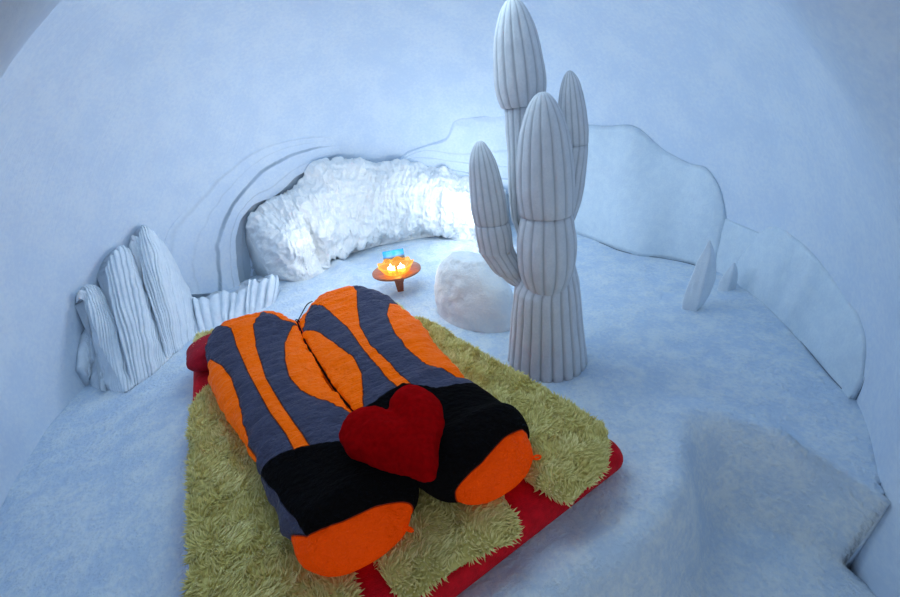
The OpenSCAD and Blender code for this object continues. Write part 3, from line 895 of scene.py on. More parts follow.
@dataclass
class SnowShell:
    """Blown snow dome with its arched doorway, one continuous mass."""

    outer_r: float = 2.85
    outer_centre: float = 0.05
    voxel: float = 0.052
    rim: float = 0.17
    outer_rim: float = 0.06
    swell: float = 0.006
    room_swell: float = 1.7
    cut: Point = (-1.2, -2.85, -3.3)
    nodes: tuple[str, ...] = (
        "wall_right_front", "wall_right_back", "wall_back", "wall_left_back", "wall_left_front",
        "door_jamb_left", "door_jamb_right", "door_head", "dome_crown")

    def parts_at(self, p: np.ndarray) -> tuple[np.ndarray, np.ndarray, np.ndarray]:
        """Distances to the outside, the room and the doorway, above 0 out of the snow."""
        x, y, z = p.T
        plan = np.hypot(x, y)
        outer = np.where(z > self.outer_centre, np.hypot(plan, z - self.outer_centre), plan) - self.outer_r
        inner = ROOM_R - np.where(z > PLATFORM, np.hypot(plan, z - PLATFORM), plan)
        half, spring = door_at(y)
        door = half - np.where(z < spring, np.abs(x), np.hypot(x, z - spring))
        return outer, inner, np.where(y < 0, door, -1.0)

    def distance(self, p: np.ndarray) -> np.ndarray:
        """Signed distance to the snow's surface, below 0 inside it."""
        outer, inner, door = self.parts_at(p)
        body = np.maximum(smooth_max(inner, door, self.rim), smooth_max(outer, door, self.outer_rim))
        return np.maximum(np.maximum(body, np.maximum(outer, inner)), -p[:, 2])

    def slope(self, p: np.ndarray) -> np.ndarray:
        """Direction in which the distance grows fastest."""
        step = 1e-3
        columns = [self.distance(p + step * axis) - self.distance(p - step * axis) for axis in np.eye(3)]
        way = np.stack(columns, 1)
        return way / np.maximum(np.linalg.norm(way, axis=1, keepdims=True), 1e-9)

    def blank(self) -> Piece:
        """Turned dome with the doorway cut out of it, before it is refined."""
        up = np.linspace(0, math.pi / 2, 30)
        outside = np.stack([self.outer_r * np.cos(up), self.outer_centre + self.outer_r * np.sin(up)], 1)
        inside = np.stack([ROOM_R * np.cos(up[::-1]), PLATFORM + ROOM_R * np.sin(up[::-1])], 1)
        profile = np.concatenate([[(self.outer_r, 0)], outside, inside, [(ROOM_R, 0)]])
        turn = full_turn(96)
        rings = around(turn[:, None], profile[:, 0], profile[:, 1])
        columns = len(profile)
        faces = grid_faces(len(turn), columns, True).tolist()
        last = (len(turn) - 1) * columns
        faces += [[last + i, last + (i + 1) % columns, (i + 1) % columns, i] for i in range(columns)]
        dome = clean_mesh(mesh_object("snow_shell", rings.reshape(-1, 3), faces), 1e-4)
        arch = np.linspace(0, math.pi, 40)
        under = -0.2
        ends = []
        for y in self.cut:
            half, spring = door_at(y)
            curve = np.stack([half * np.cos(arch), spring + half * np.sin(arch)], 1)
            outline = np.concatenate([[(half, under)], curve, [(-half, under)]])
            ends.append(np.stack([outline[:, 0], np.full(len(outline), y), outline[:, 1]], 1))
        cutter = loft("doorway_cutter", np.array(ends))
        cut = dome.modifiers.new("doorway", "BOOLEAN")
        cut.object, cut.operation, cut.solver = cutter, "DIFFERENCE", "EXACT"
        remesh = dome.modifiers.new("even", "REMESH")
        remesh.mode, remesh.voxel_size = "VOXEL", self.voxel
        bake_modifiers(dome)
        bpy.data.objects.remove(cutter)
        return dome

    def build(self, wardrobe: Wardrobe) -> Piece:
        """Refines the dome and dresses it."""
        dome = self.blank()
        p = points_of(dome)
        for _ in range(5):
            p -= self.distance(p)[:, None] * self.slope(p)
        outer, _, door = self.parts_at(p)
        way = self.slope(p)
        noise = SmoothNoise(3)
        waves = 0.5 + 0.5 * np.clip(noise.layered(p, 0.42, 4, 0.42), -1, 1)
        outside = smooth_step(outer, -0.1, -0.03)
        level = smooth_step(p[:, 2], 0.02, 0.1)
        amount = self.swell * waves * (self.room_swell - (self.room_swell + 1) * outside) * level
        p += way * amount[:, None]
        p[:, 2] = np.maximum(p[:, 2], 0)
        move_points(dome, p)
        # Painted shadow: a mask on the inner face of the doorway arch, upper left, where the arch throws
        # shade, darkens the wall's colour there.
        painted_arch_shadow = smooth_step(door + 0.05 * noise.at(p, 0.2), -0.1, -0.03)
        painted_arch_shadow *= 1 - smooth_step(p[:, 1], -1.75, -1.45)
        painted_arch_shadow *= smooth_step(p[:, 2], 0.9, 1.6) * smooth_step(-p[:, 0], -0.1, 0.4)
        store(dome, "painted_arch_shadow", 0.75 * painted_arch_shadow * (1 - outside))
        shade_smooth(dome)
        return finish_piece(dome, wardrobe.wall, self.nodes)


@dataclass
class SnowFloor:
    """Sleeping platform, its bank and the entrance, one trodden surface."""

    cell: float = 0.028
    entrance: float = 0.08
    bank: float = 0.15
    lip: float = 0.03
    reach: float = 2.135
    outer_r: float = 2.845
    doorway_edge: Pairs = ((-0.87, -1.9), (0.7, -1.632))
    corner_edge: Pairs = ((0.2, -1.834), (0.815, -1.375), (1.12, -1.76))
    root: Pairs = ((-0.64, 1.6), (-0.5, 1.26), (-0.4, 0.97))
    nodes: tuple[str, ...] = ("platform_left", "platform_back", "platform_right", "entrance_floor")

    def edge_at(self, x: np.ndarray) -> np.ndarray:
        """Place along Y of the platform's edge over the entrance."""
        far = -9.0
        corner_xs, corner_ys = zip(*self.corner_edge)
        doorway_xs, doorway_ys = zip(*self.doorway_edge)
        corner = np.interp(x, corner_xs, corner_ys, left=far, right=far)
        doorway = np.interp(x, doorway_xs, doorway_ys, left=doorway_ys[0], right=far)
        return np.maximum(corner, doorway)

    def height_at(self, x: np.ndarray, y: np.ndarray) -> np.ndarray:
        """Height of the trodden surface."""
        noise = SmoothNoise(11)
        flat = np.stack([x.ravel(), y.ravel(), np.zeros(x.size)], 1)
        wander = 0.035 * noise.layered(flat, 0.22, 2).reshape(x.shape)
        inside = np.stack([self.edge_at(x + shift) for shift in (-0.09, -0.045, 0.0, 0.045, 0.09)]).mean(0)
        past = inside + wander - y
        drop = smooth_step(past, -0.03, self.bank * 1.25)
        rise = self.lip * np.exp(-((past + 0.07) / 0.075) ** 2)
        waves = 0.5 + 0.5 * np.clip(noise.layered(flat + 7.0, 0.3, 4, 0.5), -1, 1).reshape(x.shape)
        rough = 0.012 + 0.012 * smooth_step(past, -0.2, 0.1)
        along = np.linspace(0, 1, 30)
        spine = np.stack([curve_at(along, (0, 0.5, 1), column) for column in zip(*self.root)], 1)
        aside = np.hypot(x[..., None] - spine[:, 0], y[..., None] - spine[:, 1]).min(-1)
        rise = rise + 0.055 * np.exp(-(aside / 0.085) ** 2)
        return PLATFORM - (PLATFORM - self.entrance) * drop + rise + rough * waves

    def build(self, wardrobe: Wardrobe) -> Piece:
        """Builds the surface as a closed slab and dresses it."""
        half = math.ceil(self.outer_r / self.cell)
        line = np.arange(-half, half + 1) * self.cell
        x, y = np.meshgrid(line, line)
        strip = (np.abs(x) <= door_at(y)[0] + 0.04) & (y < -1.6)
        out = -np.sqrt(np.maximum(self.outer_r ** 2 - x ** 2, 0))
        y = np.where(strip, np.maximum(y, out), y)
        keep = (np.hypot(x, y) < self.reach) | strip
        cells = keep[:-1, :-1] & keep[1:, :-1] & keep[:-1, 1:] & keep[1:, 1:]
        cells &= (y[1:, :-1] - y[:-1, :-1] > 1e-5) & (y[1:, 1:] - y[:-1, 1:] > 1e-5)
        faces = grid_faces(len(line), len(line), False)[cells.ravel()]
        z = self.height_at(x, y)
        used, faces = np.unique(faces, return_inverse=True)
        points = np.stack([x.ravel(), y.ravel(), z.ravel()], 1)[used]
        slab = mesh_object("snow_floor", points, faces.reshape(-1, 4))
        bm = bmesh.new()
        bm.from_mesh(slab.data)
        rim = [edge for edge in bm.edges if edge.is_boundary]
        skirt = bmesh.ops.extrude_edge_only(bm, edges=rim)["geom"]
        for vertex in (item for item in skirt if isinstance(item, bmesh.types.BMVert)):
            vertex.co.z = 0.0
        bmesh.ops.holes_fill(bm, edges=[edge for edge in bm.edges if edge.is_boundary], sides=0)
        bmesh.ops.recalc_face_normals(bm, faces=bm.faces)
        bm.to_mesh(slab.data)
        bm.free()
        return finish_piece(slab, wardrobe.floor, self.nodes)


@dataclass(frozen=True)
class Barrel:
    """Swelling of a cactus stem between two waists."""

    foot: Point
    end: Point
    foot_r: float
    end_r: float
    full_r: float

    def rows(self) -> tuple[np.ndarray, np.ndarray]:
        """Middles and radii along it."""
        t = np.linspace(0, 1, 20)
        plain = self.foot_r + (self.end_r - self.foot_r) * t
        radii = plain + (self.full_r - plain) * np.sin(t * math.pi) ** 0.7
        return np.array(self.foot) + t[:, None] * (np.array(self.end) - self.foot), radii


@dataclass(frozen=True)
class Tip:
    """Pointed top of a stem, standing out over the waist below it."""

    foot: Point
    end: Point
    waist_r: float
    base_r: float
    full_r: float

    def rows(self) -> tuple[np.ndarray, np.ndarray]:
        """Middles and radii along it, first the step over the waist."""
        t = np.minimum(0.9995, np.sin(np.linspace(0.012, 1, 34) * math.pi / 2))
        swell = self.base_r + (self.full_r - self.base_r) * np.sin(np.minimum(1, t / 0.3) * math.pi / 2)
        radii = np.concatenate([[self.waist_r - 0.006, self.base_r - 0.004], swell * np.sqrt(1 - t ** 2.4)])
        t = np.concatenate([[0.0, 0.003], t])
        return np.array(self.foot) + t[:, None] * (np.array(self.end) - self.foot), radii


@dataclass
class Cactus:
    """Ribbed snow cactus: a fluted trunk with a thick stem, a tall one and two arms."""

    at: Spot = (0.478, -0.747)
    turn: float = math.radians(-29)
    ribs: int = 15
    trunk_ribs: int = 22
    samples: int = 10
    depth: float = 0.06
    trunk: Rows = (
        (0.0, 0.0, 0.0, 0.206), (0.215, 0.0, 0.0, 0.18), (0.4, 0.0, 0.0, 0.157), (0.43, 0.0, 0.0, 0.153),
        (0.5, 0.015, 0.03, 0.122), (0.56, 0.02, 0.04, 0.106), (0.6, 0.02, 0.04, 0.085),
        (0.63, 0.02, 0.04, 0.05), (0.645, 0.02, 0.04, 0.01))
    stems: tuple[tuple[str, str, tuple[Barrel | Tip, ...]], ...] = (
        ("cactus_stem", "cactus_front_stem",
         (Barrel((0.0, -0.048, 0.43), (0.0, -0.048, 0.795), 0.072, 0.105, 0.131),
          Tip((0.0, -0.048, 0.795), (-0.016, -0.048, 1.257), 0.105, 0.114, 0.121))),
        ("cactus_tall_stem_dressed", "cactus_tall_stem",
         (Barrel((-0.055, 0.092, 0.43), (-0.098, 0.15, 0.72), 0.045, 0.066, 0.05),
          Barrel((-0.098, 0.15, 0.72), (-0.098, 0.15, 1.213), 0.066, 0.078, 0.076),
          Tip((-0.098, 0.15, 1.213), (-0.128, 0.15, 1.592), 0.079, 0.088, 0.111))),
        ("cactus_arm_left", "cactus_left_arm",
         (Barrel((-0.112, 0.025, 0.43), (-0.172, 0.036, 0.492), 0.04, 0.07, 0.058),
          Barrel((-0.172, 0.036, 0.492), (-0.236, 0.044, 0.61), 0.07, 0.086, 0.081),
          Barrel((-0.236, 0.044, 0.61), (-0.252, 0.045, 0.742), 0.086, 0.078, 0.086),
          Tip((-0.252, 0.045, 0.742), (-0.279, 0.045, 1.105), 0.075, 0.079, 0.083))),
        ("cactus_arm_right", "cactus_right_arm",
         (Barrel((0.05, 0.105, 0.43), (0.072, 0.124, 0.7), 0.038, 0.046, 0.042),
          Barrel((0.072, 0.124, 0.7), (0.116, 0.128, 1.04), 0.046, 0.058, 0.072),
          Tip((0.116, 0.128, 1.04), (0.09, 0.128, 1.324), 0.055, 0.059, 0.063))))

    def ribbed(self, middles: np.ndarray, radii: np.ndarray, ribs: int) -> tuple[np.ndarray, np.ndarray]:
        """Rings with flat ribs between narrow grooves, and how deep in the grooves each point lies, which
        also sets its painted shade.
        """
        turn = full_turn(ribs * self.samples)
        groove = (1 - np.abs(np.sin(ribs * turn / 2))) ** 2.6
        r = radii[:, None] * (1 - self.depth * groove)
        x, y = middles[:, None, 0] + r * np.cos(turn), middles[:, None, 1] + r * np.sin(turn)
        rings = np.stack([x, y, np.repeat(middles[:, 2:], len(turn), 1)], -1)
        return rings, np.tile(groove, (len(middles), 1))

    def carve(self, name: str, node: str, middles: np.ndarray, radii: np.ndarray, ribs: int,
              wardrobe: Wardrobe) -> None:
        """Makes a stem along its middles, slightly uneven as cut by hand."""
        rings, groove = self.ribbed(middles, radii, ribs)
        piece = loft(name, turned_to(rings, self.at, self.turn, PLATFORM))
        p = points_of(piece)
        push(piece, p, 0.003 * SmoothNoise(21).layered(p, 0.11, 3))
        # Painted shade: the depth in the grooves is stored to darken the colour there, where shade falls.
        store(piece, "groove", np.append(groove, (0.0, 0.0)))
        finish_piece(piece, wardrobe.ribbed, (node,))

    def build(self, wardrobe: Wardrobe) -> None:
        """Builds and dresses the trunk and the stems."""
        rows = np.array(self.trunk)
        up = np.concatenate([np.linspace(0, 0.41, 12), np.linspace(0.42, 0.645, 16)])
        middles = np.stack([table_at(up, rows[:, [0, 1]]), table_at(up, rows[:, [0, 2]]), up], 1)
        self.carve("cactus_trunk_dressed", "cactus_trunk", middles, curve_at(up, rows[:, 0], rows[:, 3]),
                   self.trunk_ribs, wardrobe)
        for name, node, pods in self.stems:
            middles, radii = (np.concatenate(rows) for rows in zip(*(pod.rows() for pod in pods)))
            self.carve(name, node, middles, radii, self.ribs, wardrobe)


@dataclass(frozen=True)
class Slab:
    """Fluted slab that leans on the wall: rows of (foot x, foot y, top x, top y, top height)."""

    node: str
    rows: Rows
    width: float = 0.019
    depth: float = 0.0065
    notch: float = 0.03
    head: float = 0.024
    thickness: float = 1.0


@dataclass
class FlutedColumns:
    """Organ-pipe slabs of snow that lean back to the wall beside the bed."""

    columns: int = 230
    steps: int = 40
    gap: float = 0.003
    border: float = 0.03
    bow: float = 0.018
    rough: float = 0.01
    slabs: tuple[Slab, ...] = (
        Slab("columns_low",
             ((-2.075, 0.19, -2.034, 0.165, 0.118), (-2.035, 0.14, -2.014, 0.256, 0.235),
              (-1.995, 0.104, -2.0, 0.312, 0.285), (-1.949, 0.066, -2.003, 0.331, 0.24),
              (-1.912, 0.04, -2.015, 0.323, 0.15))),
        Slab("columns_low",
             ((-1.965, 0.092, -1.962, 0.338, 0.46), (-1.899, 0.035, -1.938, 0.378, 0.528),
              (-1.845, -0.008, -1.927, 0.444, 0.518), (-1.8, -0.019, -1.926, 0.494, 0.47),
              (-1.781, 0.01, -1.938, 0.521, 0.391), (-1.759, 0.048, -1.958, 0.532, 0.256))),
        Slab("columns_middle",
             ((-1.773, 0.006, -1.895, 0.526, 0.56), (-1.753, 0.04, -1.858, 0.584, 0.634),
              (-1.732, 0.076, -1.819, 0.647, 0.672), (-1.711, 0.108, -1.797, 0.706, 0.664),
              (-1.694, 0.153, -1.807, 0.756, 0.575), (-1.683, 0.203, -1.825, 0.807, 0.44),
              (-1.671, 0.256, -1.821, 0.871, 0.31), (-1.662, 0.299, -1.839, 0.885, 0.128))),
        Slab("columns_tall",
             ((-1.667, 0.242, -1.781, 0.763, 0.64), (-1.662, 0.299, -1.733, 0.803, 0.728),
              (-1.645, 0.34, -1.699, 0.853, 0.748), (-1.627, 0.383, -1.696, 0.931, 0.65),
              (-1.614, 0.443, -1.696, 1.017, 0.51), (-1.595, 0.489, -1.71, 1.066, 0.348),
              (-1.576, 0.537, -1.722, 1.088, 0.2), (-1.543, 0.565, -1.728, 1.092, 0.07))),
        Slab("fluted_skirt",
             ((-1.562, 0.559, -1.63, 0.848, 0.17), (-1.514, 0.58, -1.582, 0.861, 0.16),
              (-1.465, 0.601, -1.517, 0.889, 0.14), (-1.415, 0.622, -1.447, 0.946, 0.15),
              (-1.364, 0.644, -1.358, 0.9, 0.13), (-1.311, 0.667, -1.284, 0.92, 0.14),
              (-1.258, 0.689, -1.228, 0.985, 0.18), (-1.212, 0.717, -1.166, 0.95, 0.16),
              (-1.164, 0.745, -1.108, 0.965, 0.175), (-1.115, 0.774, -1.055, 0.99, 0.175),
              (-1.06, 0.812, -1.01, 1.01, 0.14)), 0.055, 0.015, 0.18, 0.028, 0.06))

    def fluted(self, slab: Slab, number: int) -> tuple[np.ndarray, np.ndarray]:
        """Works out the rings of one slab.

        Args:
            slab: The slab.
            number: Its place in the list, for its random widths.

        Returns:
            Rings along the slab, and the painted shade of each point, darker deep in the flutes and along the
            border at the slab's end.
        """
        knots = np.array(slab.rows)
        s, marks, rise = (np.linspace(0, 1, count) for count in (self.columns, len(knots), self.steps))
        foot_x, foot_y, top_x, top_y, h = (curve_at(s, marks, column)[:, None] for column in knots.T)
        face = np.stack([foot_x + (top_x - foot_x) * rise, foot_y + (top_y - foot_y) * rise,
                         PLATFORM + h * rise], -1)
        up = np.gradient(face, axis=1)
        out = np.cross(up, np.gradient(face, axis=0))
        out *= -np.sign((out[..., :2] * face[..., :2]).sum(-1, keepdims=True))
        out, up = (v / np.maximum(np.linalg.norm(v, axis=-1, keepdims=True), 1e-9) for v in (out, up))
        length = np.concatenate([[0], np.cumsum(np.hypot(np.diff(foot_x[:, 0]), np.diff(foot_y[:, 0])))])
        noise, chance = SmoothNoise(number + 71), np.random.default_rng(number + 7)
        grid = np.stack(np.broadcast_arrays(length[:, None], face[..., 2], 0.0), -1).reshape(-1, 3)
        place = length[:, None] + 0.007 * noise.at(grid, (0.05, 0.16, 1)).reshape(face.shape[:2])
        edges = np.cumsum(chance.uniform(0.6, 1.5, math.ceil(length[-1] / slab.width)))
        edges = np.concatenate([[0.0], edges * length[-1] / edges[-1]])
        which = np.clip(np.searchsorted(edges, place, side="right") - 1, 0, len(edges) - 2)
        side = np.clip(np.abs(2 * (place - edges[which]) / (edges[which + 1] - edges[which]) - 1), 0, 1)
        depths = slab.depth * chance.choice((0.4, 0.7, 1.7), len(edges))
        depth = np.where(place - edges[which] < edges[which + 1] - place, depths[which], depths[which + 1])
        fade = 1 - 0.75 * smooth_step(rise, 0.6, 0.95)
        border = 1 - np.clip((length[-1] - place) / 0.032, 0, 1)
        inward = depth * side ** 2.4 * fade + self.border * border ** 2
        uneven = noise.layered(face.reshape(-1, 3), 0.1, 3, 0.6).reshape(face.shape[:2])
        inward -= self.bow * np.sin(rise * math.pi) ** 0.8 + self.rough * uneven
        face -= out * inward[..., None]
        face[..., 2] -= h * slab.notch * rise * side ** 2
        top, top_up, top_out = face[:, -1], up[:, -1], out[:, -1]
        bends = [top + slab.head * (math.sin(a) * top_up - (1 - math.cos(a)) * top_out)
                 for a in np.radians((25, 50, 75, 100))]
        bearing = np.arctan2(top_y, top_x)[:, 0]
        backs = []
        for share in (0.98, 0.5, 0.0):
            wall = room_r_at(h[:, 0] * share) - self.gap
            r = np.minimum(wall, np.hypot(top_x, top_y)[:, 0] + slab.thickness)
            backs.append(around(bearing, r, PLATFORM + h[:, 0] * share))
        rings = np.concatenate([face, np.stack(bends + backs, 1)], 1)
        rings[..., 2] = np.maximum(rings[..., 2], PLATFORM - SUNK)
        groove = np.zeros(rings.shape[:2])
        # Painted shade: darker deep in the flutes and along the border at the slab's end, where shade falls.
        groove[:, :self.steps] = np.maximum(0.34 * side ** 4 * fade * depth / slab.depth, 0.6 * border ** 2)
        return rings, groove

    def build(self, wardrobe: Wardrobe) -> None:
        """Builds every slab and joins those of one CAD node."""
        for node in dict.fromkeys(slab.node for slab in self.slabs):
            parts = []
            for number, slab in enumerate(self.slabs):
                if slab.node == node:
                    rings, groove = self.fluted(slab, number)
                    parts.append(loft("slab", rings))
                    store(parts[-1], "groove", np.append(groove, (0.0, 0.0)))
            piece = join_meshes(node + "_fluted", parts)
            shade_smooth(piece)
            finish_piece(piece, wardrobe.fluted, (node,))


@dataclass
class ShaggyRidge:
    """Long brow of snow along the wall, its face dragged into shaggy strands."""

    foot: Pairs = (
        (50, 1.25), (54, 1.31), (63, 1.5), (72, 1.76), (95, 1.76), (113, 1.7), (116, 1.5), (118, 1.47),
        (124.5, 1.43), (127.5, 1.49), (128.9, 1.6), (129.5, 1.76))
    belly: Pairs = (
        (50, 1.3), (54, 1.35), (63, 1.5), (72, 1.59), (95, 1.59), (104, 1.53), (112, 1.45), (115.5, 1.44),
        (117.5, 1.555), (119.5, 1.45), (124.5, 1.4), (127.5, 1.465), (128.9, 1.58), (129.5, 1.75))
    brow: Pairs = (
        (50, 0.38), (60, 0.5), (68, 0.69), (84, 0.8), (92, 0.85), (101, 0.94), (107, 0.9), (110, 0.845),
        (113.5, 0.75), (117, 0.705), (121, 0.665), (124.5, 0.625), (127, 0.59), (128.5, 0.53), (129.5, 0.4))
    lip: Pairs = (
        (50, 0.03), (63, 0.04), (72, 0.11), (78, 0.16), (95, 0.15), (105, 0.11), (113, 0.1), (117, 0.04),
        (129, 0.04))
    face_points: int = 130
    gap: float = 0.003
    strand: float = 0.013
    fine: float = 0.008
    lock: float = 0.026
    lump: float = 0.04

    def build(self, wardrobe: Wardrobe) -> None:
        """Builds the two stretches of the ridge."""
        self.stretch("ridge_snout", "ridge_left", np.linspace(129.5, 103.8, 190), wardrobe)
        self.stretch("ridge_brow", "ridge_right", np.linspace(104.0, 50.0, 210), wardrobe)

    def stretch(self, name: str, node: str, bearings: np.ndarray, wardrobe: Wardrobe) -> None:
        """Builds one stretch.

        Args:
            name: Name of the piece.
            node: CAD node that it stands for.
            bearings: Azimuths of its sections, in degrees.
            wardrobe: Materials.
        """
        noise = SmoothNoise(31)
        way = np.stack([bearings / 28.0, np.zeros_like(bearings), np.zeros_like(bearings)], 1)
        h = table_at(bearings, self.brow) + 0.022 * noise.layered(way, 0.18, 3)
        foot, belly, lip = (table_at(bearings, rows) for rows in (self.foot, self.belly, self.lip))
        lip = lip * (1 + 0.35 * noise.layered(way + 4, 0.1, 3))
        brow = np.maximum(belly + 0.04, room_r_at(h) - 0.19)
        knots_r = [room_r_at(h) - 0.045, room_r_at(h) - 0.07, brow, 0.45 * brow + 0.55 * belly, belly, belly,
                   belly + 0.025, foot, foot]
        knots_z = [h * 0.995, h, h * 0.96, h * 0.82, h * 0.58, h * 0.36, lip, lip * 0.4, 0 * h]
        u = np.linspace(0, 1, self.face_points)
        face = np.empty((len(bearings), self.face_points, 2))
        for i in range(len(bearings)):
            r, z = np.array([k[i] for k in knots_r]), np.array([k[i] for k in knots_z])
            run = np.concatenate([[0], np.cumsum(np.hypot(np.diff(r), np.diff(z)) + 1e-6)])
            face[i] = np.stack([np.interp(u, run / run[-1], r), np.interp(u, run / run[-1], z)], 1)
        kernel = softened(17)[1:-1]
        pad = len(kernel) // 2
        for axis in range(2):
            padded = np.pad(face[..., axis], ((0, 0), (pad, pad)), mode="edge")
            face[..., axis] = np.apply_along_axis(lambda row: np.convolve(row, kernel, "valid"), 1, padded)
        back_h = h * 0.95
        back = [np.stack([room_r_at(t * back_h) - self.gap, t * back_h], 1) for t in (0.0, 0.5, 1.0)]
        section = np.concatenate([np.stack(back, 1), face], 1)
        angle = np.radians(bearings)[:, None]
        rings = around(angle, section[..., 0], section[..., 1] + PLATFORM)
        piece = loft(name, rings)
        p, out = points_of(piece), normals_of(piece)
        side = rings.shape[1]
        out[:side], out[-2 - side:-2] = out[side:2 * side], out[-2 - 2 * side:-2 - side]
        bearing = np.degrees(np.arctan2(p[:, 1], p[:, 0]))
        away = np.hypot(np.hypot(p[:, 0], p[:, 1]), p[:, 2] - PLATFORM)
        free = smooth_step(ROOM_R - away, 0.02, 0.09) * smooth_step(p[:, 2], PLATFORM, PLATFORM + 0.05)
        slant = np.stack([bearing / 34.0 + 0.35 * (p[:, 2] - PLATFORM), p[:, 2], away], 1)
        drag = SmoothNoise(32)
        slant[:, 0] += 0.02 * drag.at(p + 17, 0.12)
        strands = 1 - 2 * np.abs(drag.at(slant, (0.03, 0.085, 0.1)))
        fine = 1 - 2 * np.abs(drag.at(slant + 5, (0.013, 0.042, 0.05)))
        lumps = drag.layered(p + 11, 0.19, 4, 0.55)
        locks = drag.at(slant + 8, (0.07, 0.2, 0.3))
        relief = self.strand * strands + self.fine * fine + self.lock * locks + self.lump * lumps
        p += out * (free * relief)[:, None]
        p[:, 2] = np.maximum(p[:, 2], PLATFORM - SUNK)
        move_points(piece, p)
        finish_piece(piece, wardrobe.ridge, (node,))


@dataclass
class WallTerraces:
    """Ledges carved in the wall, by default the deep recess beside the snout and the strata over it."""

    name: str = "wall_terraces"
    node: str = "strata_wall"
    tail: float = 0.25
    seed: int = 41
    lines: tuple[tuple[float, Pairs], ...] = (
        (0.0,
         ((129.0, -1.5), (124.5, 7.0), (122.0, 12.0), (117.0, 13.5), (110.5, 15.5), (105.0, 20.0),
          (100.0, 23.0), (95.0, 23.0))),
        (0.42,
         ((135.3, -1.5), (134.1, 6.5), (131.3, 14.5), (126.6, 18.9), (120.0, 20.2), (112.7, 24.0),
          (105.1, 27.0), (96.2, 27.2))),
        (0.7,
         ((140.8, -1.0), (138.0, 9.0), (134.4, 16.3), (128.2, 22.6), (121.4, 26.9), (113.5, 29.6),
          (104.6, 30.3), (96.4, 29.2))),
        (1.0,
         ((152.0, 5.0), (148.3, 16.8), (141.8, 22.0), (134.2, 26.9), (124.0, 31.9), (113.0, 33.6),
          (103.0, 32.9), (96.6, 31.2))))
    ledges: Pairs = (
        (0, 0.006), (0.2, 0.006), (0.22, 0.012), (0.29, 0.013), (0.31, 0.02), (0.395, 0.022), (0.42, 0.066),
        (0.52, 0.064), (0.535, 0.059), (0.69, 0.056), (0.71, 0.03), (0.83, 0.027), (0.845, 0.023),
        (0.96, 0.018), (1, 0.004))
    shadows: Pairs = (
        (0, 0.55), (0.385, 0.75), (0.4, 1.0), (0.412, 1.0), (0.425, 0.0), (0.52, 0.0), (0.53, 0.45),
        (0.54, 0.0), (0.688, 0.0), (0.696, 0.95), (0.706, 0.95), (0.716, 0.0), (0.832, 0.0), (0.84, 0.3),
        (0.85, 0.0), (0.945, 0.0), (0.965, 0.35), (0.985, 0.0), (1, 0.0))
    sink: float = 0.02

    def build(self, wardrobe: Wardrobe) -> None:
        """Builds the terraces as one closed skin on the wall."""
        along, across = np.linspace(0, 1, 140), np.linspace(0, 1, 160)
        shares = [share for share, _ in self.lines]
        rows = [np.array(line, float) for _, line in self.lines]
        curves = np.array([[curve_at(along, np.linspace(0, 1, len(line)), line[:, i]) for i in (0, 1)]
                           for line in rows])
        azimuth, height = (np.array([curve_at(across, shares, curves[:, i, k]) for k in range(len(along))])
                           for i in (0, 1))
        noise = SmoothNoise(self.seed)
        flat = np.stack([azimuth / 30.0, height / 30.0, np.zeros_like(azimuth)], -1).reshape(-1, 3)
        wander = 0.014 * noise.layered(flat, 0.13, 3).reshape(azimuth.shape) * smooth_step(across, 0.0, 0.08)
        place = np.clip(across + wander, 0, 1)
        tail = smooth_step(along[-1] - along, -1e-6, self.tail)[:, None]
        depth = np.maximum(table_at(place, self.ledges) * tail, 0.004)
        depth += 0.002 * noise.layered(flat + 5, 0.06, 2).reshape(azimuth.shape)
        patchy = 0.65 + 0.35 * noise.at(flat + 9, 0.22).reshape(azimuth.shape)
        # Painted shade: dark lines at the steps of the ledges and a dark band in the recess beside the snout,
        # from the shadows table.
        groove = table_at(place, self.shadows) * tail * np.clip(patchy, 0, 1)
        azimuth, height = np.radians(azimuth), np.radians(height)

        def shell(r: np.ndarray | float) -> np.ndarray:
            """Points at a distance from the middle of the platform."""
            return around(azimuth, r * np.cos(height), r * np.sin(height) + PLATFORM)

        front, back = shell(ROOM_R - depth), shell(ROOM_R + self.sink)[:, ::-12]
        piece = loft(self.name, np.concatenate([front, back], 1))
        marks = np.concatenate([groove, np.zeros(back.shape[:2])], 1)
        store(piece, "groove", np.append(marks, (0.0, 0.0)))
        finish_piece(piece, wardrobe.strata, (self.node,))


def ridge_mesa() -> WallTerraces:
    """Flat-topped mesa with thin ledges on the wall behind the ridge."""
    return WallTerraces(
        "mesa_ledges", "mesa_behind_ridge", 0.001, 43,
        ((0.0,
          ((83.5, 21.3), (78.3, 19.3), (73.0, 17.4), (67.1, 15.5), (62.1, 13.8), (51.7, 10.7),
           (43.4, 8.8))),
         (0.3,
          ((83.2, 22.0), (77.9, 21.6), (72.6, 20.4), (66.6, 18.9), (61.6, 17.5), (51.3, 14.9),
           (43.0, 13.5))),
         (0.52,
          ((82.5, 22.6), (77.0, 23.6), (72.2, 22.9), (66.2, 21.3), (61.2, 20.2), (50.8, 18.5),
           (42.5, 17.5))),
         (0.74, ((82.0, 23.0), (75.0, 25.2), (68.8, 24.3), (60.8, 22.6), (50.1, 22.9), (41.7, 22.9))),
         (1.0,
          ((81.5, 23.3), (78.3, 25.1), (72.2, 26.5), (66.3, 27.9), (62.6, 32.2), (56.3, 32.7), (47.9, 32.6),
           (39.5, 32.4)))),
        ((0, 0.07), (0.28, 0.068), (0.3, 0.056), (0.51, 0.054), (0.53, 0.044), (0.73, 0.042), (0.75, 0.034),
         (0.96, 0.03), (1, 0.006)),
        # Painted shade at the steps of the ledges.
        ((0, 0.0), (0.285, 0.0), (0.3, 0.75), (0.315, 0.0), (0.51, 0.0), (0.522, 0.45), (0.535, 0.0),
         (0.73, 0.0), (0.742, 0.35), (0.755, 0.0), (1, 0.0)))


